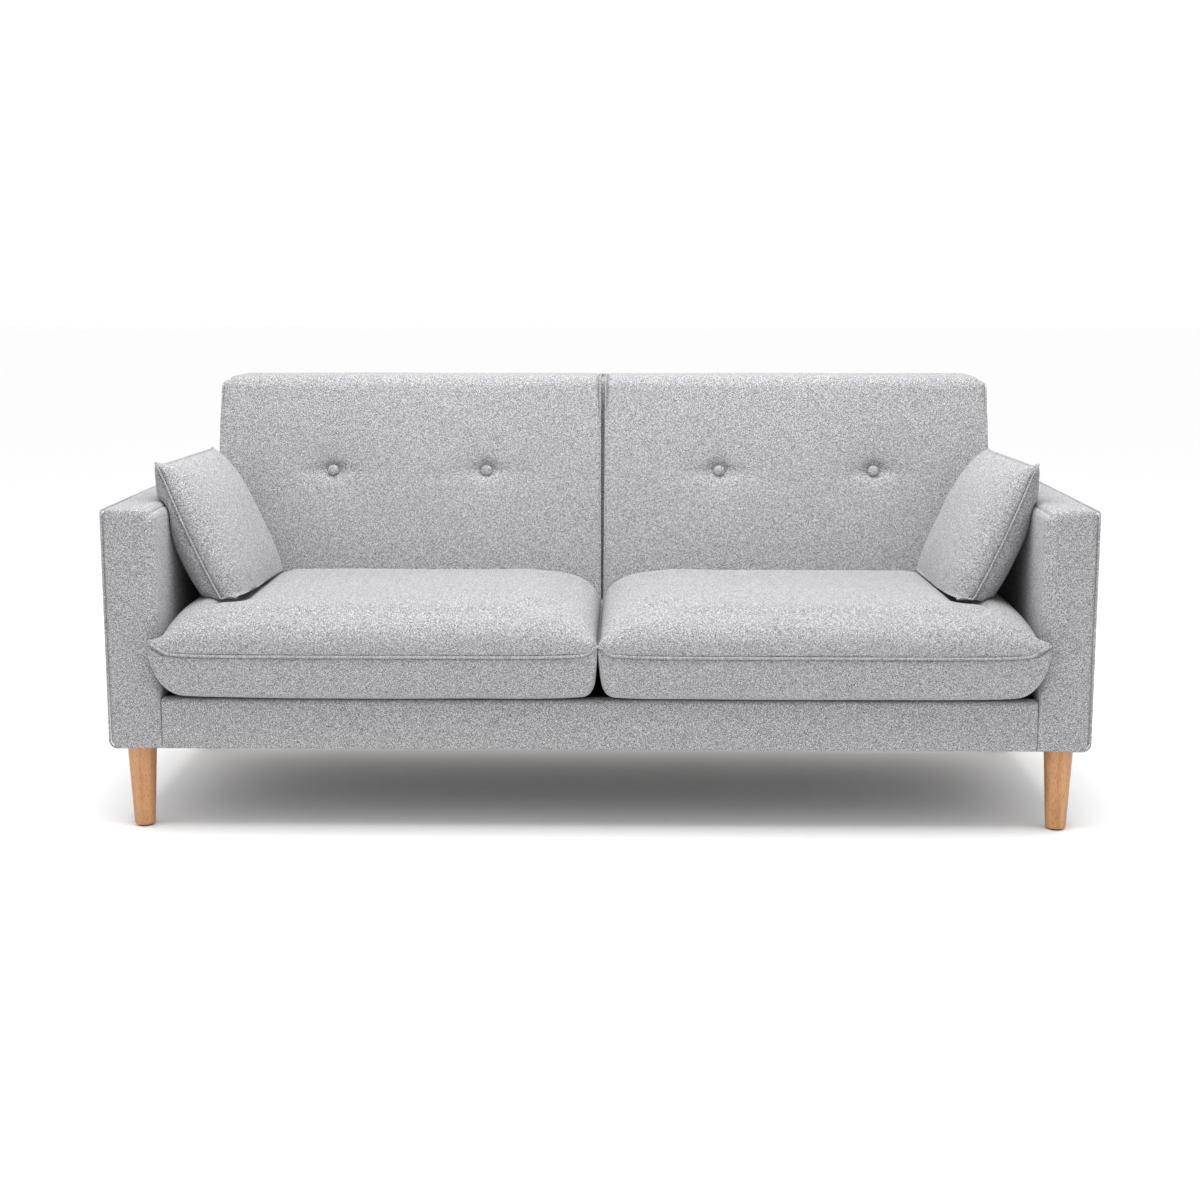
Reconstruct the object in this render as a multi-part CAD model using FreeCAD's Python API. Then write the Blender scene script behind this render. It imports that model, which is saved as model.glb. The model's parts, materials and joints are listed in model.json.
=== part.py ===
import FreeCAD, Part
import math
import os

# A three-seat sofa on four round tapered legs, in millimetres.
# X runs across the sofa, -Y is the front and +Z is up. The origin is on the floor, at the centre of
# the sofa's outline seen from above.

# ---- driving sizes ----
overall_width = 2000.0        # over both arms
overall_depth = 850.0         # front of the seat cushions to the top rear edge of the back
overall_height = 900.0        # floor to the top of the back
underside_height = 175.0      # floor to the underside of the body, which is also the legs' length
cushion_overhang = 35.0       # how far the seat cushions stand out in front of the arms

cover_thickness = 2.0         # upholstery cloth with its backing
cover_clearance = 1.0         # between a cover and the foam or wood inside it
piece_gap = 1.0               # between upholstered pieces that are bolted together

# arms
arm_thickness = 108.0
arm_height = 668.0            # floor to the top of an arm
arm_foam = 10.0
arm_panel = 4.0
arm_rail_height = 80.0        # bottom rail
arm_top_rail_height = 30.0
arm_post_depth = 60.0
arm_outer_radius = 17.0
arm_inner_radius = 12.0
arm_front_radius = 8.0

# seat box
deck_height = 278.0           # floor to the top of the deck cloth
seat_board = 26.0             # thickness of the seat box's boards
rail_under_springs = 22.0     # the centre rail and corner blocks stop this far below the springs' rails
border_foam = 11.0
border_radius = 14.0
border_foot_radius = 3.0
deck_pad_thickness = 9.0
corner_block_leg = 70.0

# springs
spring_wire = 4.0
spring_count = 8
spring_width = 52.0
spring_pitch = 34.0
spring_clip_width = 26.0
spring_clip_length = 14.0
spring_clip_wall = 2.0

# back
back_side_gap = 6.0           # back to arm
back_front_y = 141.0          # front face of the back, at the rise below above the deck
back_front_rise = 189.0
back_rake = 15.0              # degrees, front face of the pads
outer_back_rake = 4.3         # degrees, rear of the sofa
back_pad_thickness = 85.0
back_pad_gap = 8.0            # between the two pads
back_lip = 20.0               # foam and cover over the top rail
back_top_front_radius = 24.0
back_top_rear_radius = 6.0
back_board = 24.0
outer_panel = 4.0
back_top_rail_height = 70.0
back_lower_rail_height = 70.0
back_lower_rail_rise = 52.0   # deck to the lower rail
webbing_width = 60.0
webbing_thickness = 1.6
webbing_pitch = 100.0         # about this far between strips

# buttons in the back
button_drop = 210.0           # top of the back to the row of buttons
button_spacing = 354.0        # between the two buttons of a pad
button_radius = 13.5
button_thickness = 7.0
button_edge_radius = 4.0
dimple_radius = 42.0
dimple_depth = 14.0
twine_radius = 1.0
twine_hole_radius = 2.0
toggle_radius = 9.0
toggle_thickness = 4.0

# legs
leg_top_radius = 30.0
leg_foot_radius = 21.0
leg_foot_edge = 4.0
leg_inset_front = 50.0        # arm front to leg centre
leg_inset_rear = 40.0         # body rear, at its foot, to leg centre
hanger_radius = 4.0
hanger_in_leg = 40.0
hanger_in_rail = 22.0
insert_radius = 6.5
insert_length = 25.0
glide_radius = 15.0
glide_thickness = 3.0
glide_pin_radius = 1.5
glide_pin_length = 12.0

# bolts that hold the arms
bolt_radius = 4.0
bolt_head_radius = 9.0
bolt_head_thickness = 5.0
bolt_head_room = 30.0         # left free of corner blocks behind each head
bolt_in_arm = 45.0
bolt_hole_clearance = 0.5
bolt_front_y = -290.0
bolt_middle_y = 90.0
bolt_back_drop = 148.0        # top of the arm to the bolt into the back

# seat cushions
cushion_side_gap = 6.0        # cushion to arm
cushion_centre_gap = 6.0      # between the two cushions
cushion_back_gap = 2.0        # cushion to back
cushion_front_rise = 154.0    # deck to the top panel near the front
cushion_rear_rise = 184.0     # deck to the top panel at the back
cushion_crown = 26.0          # rise of the top panel from its sides to its middle
cushion_top_front_radius = 84.0
cushion_bottom_front_radius = 42.0
cushion_rear_radius = 24.0
cushion_rear_foot_radius = 12.0
cushion_crown_radius = 100.0
cushion_side_radius = 34.0
zip_width = 12.0
zip_length = 640.0
zip_rise = 102.0              # deck to the middle of the zip

# throw pillows
pillow_long = 415.0
pillow_short = 333.0
pillow_thickness = 140.0
pillow_edge = 6.0
pillow_lean = 23.5            # degrees, top towards the arm
pillow_turn = 6.7             # degrees, front edge towards the arm
pillow_side_inset = 174.0     # arm outer face to the pillow's centre
pillow_y = -13.0
pillow_rise = 128.0           # seat cushion's rear top to the pillow's centre
pillow_gap = 2.0              # to the arm, the back and the seat cushion

# ---- sizes that follow ----
half_width = overall_width / 2
front_limit = -overall_depth / 2
rear_top_y = overall_depth / 2
arm_front = front_limit + cushion_overhang
arm_inner = half_width - arm_thickness
skin = cover_thickness + cover_clearance
body_floor = underside_height + skin
arm_pad = skin + arm_foam
seat_half = arm_inner - piece_gap
back_half = arm_inner - back_side_gap
rear_skin = skin + outer_panel
frame_top = overall_height - back_lip
pad_floor = deck_height + piece_gap
leg_x = half_width - arm_thickness / 2
back_front_height = deck_height + back_front_rise
button_height = overall_height - button_drop
cushion_front_top = deck_height + cushion_front_rise
cushion_rear_top = deck_height + cushion_rear_rise
slant = 1 / math.cos(math.radians(back_rake))
deck_floor = deck_height - cover_thickness
deck_pad_floor = deck_floor - deck_pad_thickness
clip_height = spring_wire + 2 * spring_clip_wall
rail_top = deck_pad_floor - clip_height
low_rail_top = rail_top - rail_under_springs
bolt_rail_height = (body_floor + rail_top) / 2
bolt_back_height = arm_height - bolt_back_drop
post_front_gap = back_pad_thickness + (skin + webbing_thickness) * slant
inset_floor = underside_height + cover_thickness
sides = {"left": -1, "right": 1}


def frontY(z):
    """Front face of the back pads at a height."""
    return back_front_y + (z - back_front_height) * math.tan(math.radians(back_rake))


def rearY(z):
    """Rear of the sofa at a height."""
    return rear_top_y - (overall_height - z) * math.tan(math.radians(outer_back_rake))


def box(x0, x1, y0, y1, z0, z1):
    low = FreeCAD.Vector(min(x0, x1), min(y0, y1), min(z0, z1))
    return Part.makeBox(abs(x1 - x0), abs(y1 - y0), abs(z1 - z0), low)


def roundedWire(corners, place):
    """A closed outline with an arc at each corner; corners are (a, b, radius), place makes a point of (a, b)."""
    count = len(corners)
    starts, middles, ends = [], [], []
    for index in range(count):
        a, b, radius = corners[index]
        here = FreeCAD.Vector(a, b, 0)
        before = FreeCAD.Vector(corners[index - 1][0], corners[index - 1][1], 0) - here
        after = FreeCAD.Vector(corners[(index + 1) % count][0], corners[(index + 1) % count][1], 0) - here
        before.normalize()
        after.normalize()
        half = before.getAngle(after) / 2
        bisector = before + after
        bisector.normalize()
        reach = radius / math.tan(half)
        starts.append(here + before * reach)
        ends.append(here + after * reach)
        middles.append(here + bisector * (radius / math.sin(half) - radius))
    edges = []
    for index in range(count):
        start, middle, end = (place(p.x, p.y) for p in (starts[index], middles[index], ends[index]))
        if corners[index][2] > 0:
            edges.append(Part.Arc(start, middle, end).toShape())
        following = starts[(index + 1) % count]
        edges.append(Part.makeLine(end, place(following.x, following.y)))
    return Part.Wire(edges)


def prism(wire, inset, direction):
    """The outline, drawn in by inset (let out if it is negative), pushed along direction."""
    outline = wire if inset == 0 else wire.makeOffset2D(-inset)
    return Part.Face(outline).extrude(direction)


def onSide(x):
    """Places (y, z) in the plane at x."""
    return lambda y, z: FreeCAD.Vector(x, y, z)


def onFront(y):
    """Places (x, z) in the plane at y."""
    return lambda x, z: FreeCAD.Vector(x, y, z)


def mirrored(shape, side):
    """Right-hand pieces are drawn; left-hand ones are their mirror images."""
    if sides[side] > 0:
        return shape
    return shape.mirror(FreeCAD.Vector(0, 0, 0), FreeCAD.Vector(1, 0, 0))


def cylinder(radius, length, foot, direction):
    return Part.makeCylinder(radius, length, foot, direction)


alongX = FreeCAD.Vector(1, 0, 0)
alongY = FreeCAD.Vector(0, 1, 0)
alongZ = FreeCAD.Vector(0, 0, 1)
parts = {}


# ---- bolts and their holes, on the right-hand side ----
def boltPlaces():
    """(x of the head's seat, y, z) of each bolt into the right arm."""
    back_y = rearY(bolt_back_height) - rear_skin - arm_post_depth / 2 - arm_pad
    return [
        (seat_half - seat_board, bolt_front_y, bolt_rail_height),
        (seat_half - seat_board, bolt_middle_y, bolt_rail_height),
        (back_half - cover_thickness - back_board, back_y, bolt_back_height),
    ]


def armBoltHoles():
    reach = half_width - arm_pad - arm_panel - seat_half + seat_board
    holes = []
    for x, y, z in boltPlaces():
        hole = cylinder(bolt_radius + bolt_hole_clearance, reach, FreeCAD.Vector(x, y, z), alongX)
        holes.append(hole)
    return holes


def drilled(shape, holes):
    return shape.cut(Part.makeCompound(holes))


# ---- arms ----
def armBody(inset):
    """The right arm's outside, drawn in by inset: rounded in front view, its rear along the back."""
    outline = roundedWire(
        [
            (arm_inner, underside_height, arm_front_radius),
            (half_width, underside_height, arm_outer_radius),
            (half_width, arm_height, arm_outer_radius),
            (arm_inner, arm_height, arm_inner_radius),
        ],
        onFront(arm_front + inset),
    )
    body = prism(outline, inset, alongY * (overall_depth - inset))
    rear = roundedWire(
        [
            (arm_front - overall_depth, underside_height - overall_height, 0),
            (rearY(underside_height - overall_height), underside_height - overall_height, 0),
            (rearY(overall_height), overall_height, 0),
            (arm_front - overall_depth, overall_height, 0),
        ],
        onSide(0),
    )
    return body.common(prism(rear, inset, alongX * overall_width))


def roundFront(body, y, radius):
    """Rounds the edges that lie in the front plane at y."""
    edges = [edge for edge in body.Edges if abs(edge.BoundBox.YMin - y) + abs(edge.BoundBox.YMax - y) < 0.01]
    return body.makeFillet(radius, edges)


def armShell():
    outside = roundFront(armBody(0), arm_front, arm_front_radius)
    inside = roundFront(armBody(cover_thickness), arm_front + cover_thickness, arm_front_radius - cover_thickness)
    leg_holes = [
        cylinder(hanger_radius + bolt_hole_clearance, body_floor, FreeCAD.Vector(leg_x, y, 0), alongZ)
        for y in (leg_front_y, leg_rear_y)
    ]
    return drilled(outside.cut(inside), armBoltHoles() + leg_holes)


leg_front_y = arm_front + leg_inset_front
leg_rear_y = rearY(underside_height) - leg_inset_rear

arm_frame_front = arm_front + arm_pad
arm_frame_inner = arm_inner + arm_pad
arm_frame_outer = half_width - arm_pad
arm_frame_top = arm_height - arm_pad
post_floor = body_floor + arm_rail_height
post_top = arm_frame_top - arm_top_rail_height


def armFrameSlice(x0, x1, y0, y1, z0, z1):
    """A piece of the arm's frame; its rear is cut along the back where it reaches that far."""
    blank = box(x0, x1, y0, y1, z0, z1)
    limit = roundedWire(
        [
            (arm_front, 0, 0),
            (rearY(0) - arm_pad, 0, 0),
            (rearY(overall_height) - arm_pad, overall_height, 0),
            (arm_front, overall_height, 0),
        ],
        onSide(0),
    )
    return blank.common(prism(limit, 0, alongX * overall_width))


rail_inner = arm_frame_inner + arm_panel
rail_outer = arm_frame_outer - arm_panel
rear_post_y = rearY(post_floor) - arm_pad - arm_post_depth

for side in sides:
    inserts = [
        cylinder(insert_radius, insert_length, FreeCAD.Vector(leg_x, y, body_floor), alongZ)
        for y in (leg_front_y, leg_rear_y)
    ]
    bottom_rail = armFrameSlice(rail_inner, rail_outer, arm_frame_front, rear_top_y, body_floor, post_floor)
    top_rail = armFrameSlice(rail_inner, rail_outer, arm_frame_front, rear_top_y, post_top, arm_frame_top)
    front_post = box(rail_inner, rail_outer, arm_frame_front, arm_frame_front + arm_post_depth, post_floor, post_top)
    rear_post = armFrameSlice(rail_inner, rail_outer, rear_post_y, rear_top_y, post_floor, post_top)
    panels = [
        armFrameSlice(x, x + arm_panel, arm_frame_front, rear_top_y, body_floor, arm_frame_top)
        for x in (arm_frame_inner, rail_outer)
    ]
    hollow = armFrameSlice(arm_frame_inner, arm_frame_outer, arm_frame_front, rear_top_y, 0, arm_frame_top)
    parts["arm_bottom_rail_" + side] = mirrored(drilled(bottom_rail, armBoltHoles() + inserts), side)
    parts["arm_top_rail_" + side] = mirrored(top_rail, side)
    parts["arm_front_post_" + side] = mirrored(front_post, side)
    parts["arm_rear_post_" + side] = mirrored(drilled(rear_post, armBoltHoles()), side)
    parts["arm_panels_" + side] = mirrored(drilled(Part.makeCompound(panels), armBoltHoles()), side)
    foam = roundFront(armBody(skin), arm_front + skin, arm_front_radius - skin).cut(hollow)
    parts["arm_foam_" + side] = mirrored(drilled(foam, armBoltHoles()), side)
    parts["arm_cover_" + side] = mirrored(armShell(), side)


def armBolt(place):
    x, y, z = place
    seat = FreeCAD.Vector(x, y, z)
    shank = cylinder(bolt_radius, rail_inner + bolt_in_arm - x, seat, alongX)
    head = cylinder(bolt_head_radius, bolt_head_thickness, seat - alongX * bolt_head_thickness, alongX)
    return shank.fuse(head).removeSplitter()


bolts = [mirrored(armBolt(place), side) for side in sides for place in boltPlaces()]
parts["arm_bolts"] = Part.makeCompound(bolts)

# ---- seat box ----
rail_front_y = arm_front + skin + border_foam
post_front_y = frontY(pad_floor) + post_front_gap
rear_rail_y = post_front_y - seat_board
end_rail_front = rail_front_y + seat_board

front_rail = box(-seat_half, seat_half, rail_front_y, end_rail_front, body_floor, rail_top)
rear_rail = box(-seat_half, seat_half, rear_rail_y, post_front_y, body_floor, rail_top)
parts["seat_front_rail"] = front_rail
parts["seat_rear_rail"] = rear_rail
for side in sides:
    end_rail = box(seat_half - seat_board, seat_half, end_rail_front, rear_rail_y, body_floor, rail_top)
    parts["seat_end_rail_" + side] = mirrored(drilled(end_rail, armBoltHoles()), side)
centre_rail = box(-seat_board / 2, seat_board / 2, end_rail_front, rear_rail_y, body_floor, low_rail_top)
parts["seat_centre_rail"] = centre_rail


def cornerBlock(y, toward):
    """A three-cornered block in the corner at y, its other leg running toward the seat's middle."""
    x = seat_half - seat_board
    outline = Part.makePolygon([
        FreeCAD.Vector(x, y, body_floor),
        FreeCAD.Vector(x - corner_block_leg, y, body_floor),
        FreeCAD.Vector(x, y + toward * corner_block_leg, body_floor),
        FreeCAD.Vector(x, y, body_floor),
    ])
    return Part.Face(outline).extrude(alongZ * (low_rail_top - body_floor))


corner_blocks = [
    mirrored(cornerBlock(y, toward), side)
    for side in sides
    for y, toward in ((end_rail_front, 1), (rear_rail_y, -1))
]
bolt_heads = [
    mirrored(cylinder(bolt_head_radius + piece_gap, bolt_head_room, FreeCAD.Vector(x - bolt_head_room, y, z), alongX), side)
    for side in sides
    for x, y, z in boltPlaces()
]
parts["seat_corner_blocks"] = drilled(Part.makeCompound(corner_blocks), bolt_heads)

# ---- springs: flat zigzags of wire from rail to rail, each end held in a clip ----
spring_z = rail_top + spring_clip_wall + spring_wire / 2
clip_y = {"front": end_rail_front - seat_board / 2, "rear": rear_rail_y + seat_board / 2}


def springWire():
    """One spring about x = 0: bars across, joined by half circles, and a short bar in each clip."""
    span = clip_y["rear"] - clip_y["front"]
    bars = int(span / spring_pitch) + 1
    pitch = span / (bars - 1)
    turn = pitch / 2
    edge = spring_width / 2 - turn
    path = []
    for index in range(bars):
        y = clip_y["front"] + index * pitch
        toward = 1 if index % 2 == 0 else -1
        start = FreeCAD.Vector(-toward * edge, y, spring_z)
        end = FreeCAD.Vector(toward * edge, y, spring_z)
        path.append(Part.makeLine(start, end))
        if index < bars - 1:
            middle = FreeCAD.Vector(toward * (edge + turn), y + turn, spring_z)
            after = FreeCAD.Vector(toward * edge, y + pitch, spring_z)
            path.append(Part.Arc(end, middle, after).toShape())
    start = path[0].Vertexes[0].Point
    ring = Part.Wire(Part.makeCircle(spring_wire / 2, start, alongX))
    return Part.Wire(path).makePipeShell([ring], True, True)


def springClip(x, y):
    """A folded steel clip on the rail: a block with a slot along the wire."""
    outside = box(
        x - spring_clip_width / 2, x + spring_clip_width / 2,
        y - spring_clip_length / 2, y + spring_clip_length / 2,
        rail_top, rail_top + clip_height,
    )
    slot = box(
        x - spring_clip_width, x + spring_clip_width,
        y - spring_wire / 2 - cover_clearance, y + spring_clip_length,
        rail_top + spring_clip_wall, rail_top + spring_wire + spring_clip_wall,
    )
    return outside.cut(slot)


spring_spacing = 2 * (seat_half - seat_board) / spring_count
spring_x = [(index - (spring_count - 1) / 2) * spring_spacing for index in range(spring_count)]
one_spring = springWire()
springs = [one_spring.translated(alongX * x) for x in spring_x]
parts["seat_springs"] = Part.makeCompound(springs)
clips = []
for x in spring_x:
    clips.append(springClip(x, clip_y["front"]))
    rear_clip = springClip(x, clip_y["rear"])
    clips.append(rear_clip.rotated(FreeCAD.Vector(x, clip_y["rear"], 0), alongZ, 180))
parts["spring_clips"] = Part.makeCompound(clips)

# ---- deck and front border ----
border_rear = end_rail_front
parts["deck_pad"] = box(-seat_half, seat_half, border_rear, post_front_y, deck_pad_floor, deck_floor)
parts["deck_cloth"] = box(-seat_half, seat_half, border_rear, post_front_y, deck_floor, deck_height)


def borderBody(inset):
    """The front border from underside to deck, drawn in by inset at the front, top and bottom."""
    outline = roundedWire(
        [
            (arm_front, underside_height, border_foot_radius),
            (border_rear + border_radius, underside_height, 0),
            (border_rear + border_radius, deck_height, 0),
            (arm_front, deck_height, border_radius),
        ],
        onSide(-seat_half),
    )
    front = box(-half_width, half_width, front_limit, border_rear, 0, overall_height)
    return prism(outline, inset, alongX * 2 * seat_half).common(front)


border_shell = borderBody(0).cut(borderBody(cover_thickness))
parts["border_cover"] = border_shell
spring_room = box(-half_width, half_width, rail_front_y, border_rear, 0, deck_pad_floor)
parts["border_foam"] = borderBody(skin).cut(spring_room)

# ---- back frame ----

def backPlate(x0, x1, front_gap, rear_gap, z0, z1):
    """A board between the raked front and rear of the back, from height z0 to z1."""
    knee = pad_floor
    outline = [
        FreeCAD.Vector(x0, frontY(knee) + front_gap, knee),
        FreeCAD.Vector(x0, frontY(overall_height) + front_gap, overall_height),
        FreeCAD.Vector(x0, rearY(overall_height) - rear_gap, overall_height),
        FreeCAD.Vector(x0, rearY(0) - rear_gap, 0),
        FreeCAD.Vector(x0, frontY(knee) + front_gap, 0),
    ]
    wedge = Part.Face(Part.makePolygon(outline + [outline[0]])).extrude(alongX * (x1 - x0))
    return wedge.common(box(x0, x1, -overall_depth, overall_depth, z0, z1))


post_outer = back_half - cover_thickness
post_spans = {
    "left": (-post_outer, -post_outer + back_board),
    "centre": (-back_board / 2, back_board / 2),
    "right": (post_outer - back_board, post_outer),
}
for place, (x0, x1) in post_spans.items():
    post = backPlate(x0, x1, post_front_gap, rear_skin, body_floor, frame_top)
    if place in sides:
        bolt_holes = [mirrored(hole, place) for hole in armBoltHoles()]
        post = drilled(post, bolt_holes)
    parts["back_post_" + place] = post

bays = [(-post_outer + back_board, -back_board / 2), (back_board / 2, post_outer - back_board)]


def railsInBays(z0, z1, depth):
    """Cross rails in the two bays between the posts, flush with the posts' front edges."""
    rails = []
    for x0, x1 in bays:
        whole = backPlate(x0, x1, post_front_gap, rear_skin, z0, z1)
        behind = backPlate(x0, x1, post_front_gap + depth, rear_skin - overall_depth, z0, z1)
        rails.append(whole.cut(behind))
    return Part.makeCompound(rails)


parts["back_top_rail"] = railsInBays(frame_top - back_top_rail_height, frame_top, seat_board)
lower_rail_floor = deck_height + back_lower_rail_rise
parts["back_lower_rail"] = railsInBays(lower_rail_floor, lower_rail_floor + back_lower_rail_height, seat_board)


def onBack(x, along, behind):
    """A point of the raked back: along its slope from the button row, and behind the pads' front face."""
    rake = math.radians(back_rake)
    y = frontY(button_height) + along * math.sin(rake) + behind * math.cos(rake)
    z = button_height + along * math.cos(rake) - behind * math.sin(rake)
    return FreeCAD.Vector(x, y, z)


def onRake(shape):
    """Turns an upright shape about the X axis so that it lies along the raked back."""
    return shape.rotated(FreeCAD.Vector(0, 0, 0), alongX, -back_rake)


into_back = onRake(cylinder(1, 1, FreeCAD.Vector(0, 0, 0), alongY)).Faces[0].Surface.Axis
pad_rear = back_pad_thickness / slant + skin
room_above = (frame_top - button_height) * slant
lowest_strip = (onBack(0, 0, pad_rear).z - pad_floor) * slant - webbing_width / 2
strips_above = max(1, round(room_above / webbing_pitch))
strips_below = max(1, round(lowest_strip / webbing_pitch))
strip_places = [room_above * (index + 0.5) / strips_above for index in range(strips_above)]
strip_places += [-lowest_strip * (index + 0.5) / (strips_below - 0.5) for index in range(strips_below)]
webbing_strips = []
for along in strip_places:
    strip = box(-post_outer, post_outer, 0, webbing_thickness, -webbing_width / 2, webbing_width / 2)
    webbing_strips.append(onRake(strip).translated(onBack(0, along, pad_rear)))
parts["back_webbing"] = Part.makeCompound(webbing_strips)

# ---- back pads ----
button_x = [back_pad_gap / 4 + back_half / 2 - button_spacing / 2, back_pad_gap / 4 + back_half / 2 + button_spacing / 2]


def padBody(inset):
    """The right back pad: a raked slab whose top reaches back over the top rail, with button dimples."""
    outline = roundedWire(
        [
            (frontY(pad_floor), pad_floor, 0),
            (frontY(overall_height), overall_height, back_top_front_radius),
            (rearY(overall_height) - skin, overall_height, back_top_rear_radius),
            (rearY(frame_top + piece_gap) - skin, frame_top + piece_gap, 0),
            (frontY(frame_top + piece_gap) + back_pad_thickness, frame_top + piece_gap, 0),
            (frontY(pad_floor) + back_pad_thickness, pad_floor, 0),
        ],
        onSide(back_pad_gap / 2 + inset),
    )
    length = back_half - back_pad_gap / 2 - 2 * inset
    body = prism(outline, inset, alongX * length)
    for x in button_x:
        dimple = Part.makeCone(
            dimple_radius + inset, button_radius + inset, dimple_depth + inset, onBack(x, 0, 0), into_back
        )
        body = body.cut(dimple)
    return body


def twineHole(x, radius):
    return cylinder(radius, pad_rear * 2, onBack(x, 0, 0), into_back)


twine_holes = [twineHole(x, twine_hole_radius) for x in button_x]
for side in sides:
    parts["back_cover_" + side] = mirrored(drilled(padBody(0).cut(padBody(cover_thickness)), twine_holes), side)
    parts["back_pad_" + side] = mirrored(drilled(padBody(skin), twine_holes), side)

# ---- buttons: a domed cap on the dimple's floor, twine through the pad, a toggle behind the webbing ----
toggle_depth = pad_rear + webbing_thickness + cover_clearance


def button(x):
    foot = onBack(x, 0, dimple_depth)
    disc = cylinder(button_radius - cover_clearance, button_thickness, foot - into_back * button_thickness, into_back)
    rim = [edge for edge in disc.Edges if edge.Curve.TypeId == "Part::GeomCircle"]
    front_rim = min(rim, key=lambda edge: edge.Curve.Center.dot(into_back))
    return disc.makeFillet(button_edge_radius, [front_rim])


def twine(x):
    return cylinder(twine_radius, toggle_depth - dimple_depth, onBack(x, 0, dimple_depth), into_back)


def toggle(x):
    return cylinder(toggle_radius, toggle_thickness, onBack(x, 0, toggle_depth), into_back)


both_sides = [(side, x) for side in sides for x in button_x]
parts["back_buttons"] = Part.makeCompound([mirrored(button(x), side) for side, x in both_sides])
parts["button_twine"] = Part.makeCompound([mirrored(twine(x), side) for side, x in both_sides])
parts["button_toggles"] = Part.makeCompound([mirrored(toggle(x), side) for side, x in both_sides])

# ---- outer back ----
panel_front = backPlate(-post_outer, post_outer, -overall_depth, rear_skin, body_floor, frame_top)
panel_whole = backPlate(-post_outer, post_outer, -overall_depth, skin, body_floor, frame_top)
parts["outer_back_panel"] = panel_whole.cut(panel_front)

cover_front_gap = back_pad_thickness + cover_clearance
cover_outside = backPlate(-back_half, back_half, cover_front_gap, 0, underside_height, frame_top)
cover_inside = backPlate(-post_outer, post_outer, -overall_depth, cover_thickness, inset_floor, overall_height)
rear_strip = backPlate(-back_half, back_half, -overall_depth, 0, frame_top, overall_height - back_top_rear_radius)
rear_strip_room = backPlate(-back_half, back_half, -overall_depth, cover_thickness, frame_top, overall_height)
outer_back = cover_outside.cut(cover_inside).fuse(rear_strip.cut(rear_strip_room)).removeSplitter()
bolt_holes = [mirrored(hole, side) for side in sides for hole in armBoltHoles()]
seat_room = box(-half_width, half_width, 0, post_front_y, 0, pad_floor)
parts["outer_back_cover"] = drilled(outer_back, bolt_holes + [seat_room])

# ---- dust cover under the seat ----
parts["dust_cover"] = box(
    -back_half, back_half, border_rear, post_front_y, underside_height, inset_floor
)


# ---- legs ----
def leg(y):
    """A round tapered leg with an eased foot, bored for its hanger bolt and the glide's pin."""
    slope = (leg_top_radius - leg_foot_radius) / (underside_height - glide_thickness)
    edge_radius = leg_foot_radius + slope * leg_foot_edge
    quarter = leg_foot_edge * (1 - math.sqrt(0.5))
    foot_middle = FreeCAD.Vector(edge_radius - quarter, 0, glide_thickness + quarter)
    profile = [
        Part.makeLine(FreeCAD.Vector(0, 0, underside_height), FreeCAD.Vector(0, 0, glide_thickness)),
        Part.makeLine(
            FreeCAD.Vector(0, 0, glide_thickness), FreeCAD.Vector(edge_radius - leg_foot_edge, 0, glide_thickness)
        ),
        Part.Arc(
            FreeCAD.Vector(edge_radius - leg_foot_edge, 0, glide_thickness),
            foot_middle,
            FreeCAD.Vector(edge_radius, 0, glide_thickness + leg_foot_edge),
        ).toShape(),
        Part.makeLine(
            FreeCAD.Vector(edge_radius, 0, glide_thickness + leg_foot_edge),
            FreeCAD.Vector(leg_top_radius, 0, underside_height),
        ),
        Part.makeLine(FreeCAD.Vector(leg_top_radius, 0, underside_height), FreeCAD.Vector(0, 0, underside_height)),
    ]
    solid = Part.Face(Part.Wire(profile)).revolve(FreeCAD.Vector(0, 0, 0), alongZ, 360)
    bolt_bore = cylinder(
        hanger_radius, hanger_in_leg, FreeCAD.Vector(0, 0, underside_height - hanger_in_leg), alongZ
    )
    pin_bore = cylinder(glide_pin_radius, glide_pin_length, FreeCAD.Vector(0, 0, glide_thickness), alongZ)
    return drilled(solid, [bolt_bore, pin_bore]).translated(FreeCAD.Vector(leg_x, y, 0))


def hangerBolt(y):
    foot = FreeCAD.Vector(leg_x, y, underside_height - hanger_in_leg)
    return cylinder(hanger_radius, hanger_in_leg + skin + hanger_in_rail, foot, alongZ)


def threadedInsert(y):
    foot = FreeCAD.Vector(leg_x, y, body_floor)
    sleeve = cylinder(insert_radius, insert_length, foot, alongZ)
    return sleeve.cut(cylinder(hanger_radius, hanger_in_rail, foot, alongZ))


def glide(y):
    pad = cylinder(glide_radius, glide_thickness, FreeCAD.Vector(leg_x, y, 0), alongZ)
    pin = cylinder(glide_pin_radius, glide_pin_length, FreeCAD.Vector(leg_x, y, glide_thickness), alongZ)
    return pad.fuse(pin).removeSplitter()


leg_places = {"front": leg_front_y, "rear": leg_rear_y}
for side in sides:
    for place, y in leg_places.items():
        parts["leg_" + place + "_" + side] = mirrored(leg(y), side)
corners = [(side, y) for side in sides for y in leg_places.values()]
parts["leg_hanger_bolts"] = Part.makeCompound([mirrored(hangerBolt(y), side) for side, y in corners])
parts["leg_threaded_inserts"] = Part.makeCompound([mirrored(threadedInsert(y), side) for side, y in corners])
parts["leg_glides"] = Part.makeCompound([mirrored(glide(y), side) for side, y in corners])


# ---- seat cushions ----
cushion_floor = deck_height + piece_gap
cushion_x0 = cushion_centre_gap / 2
cushion_x1 = arm_inner - cushion_side_gap


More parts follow.
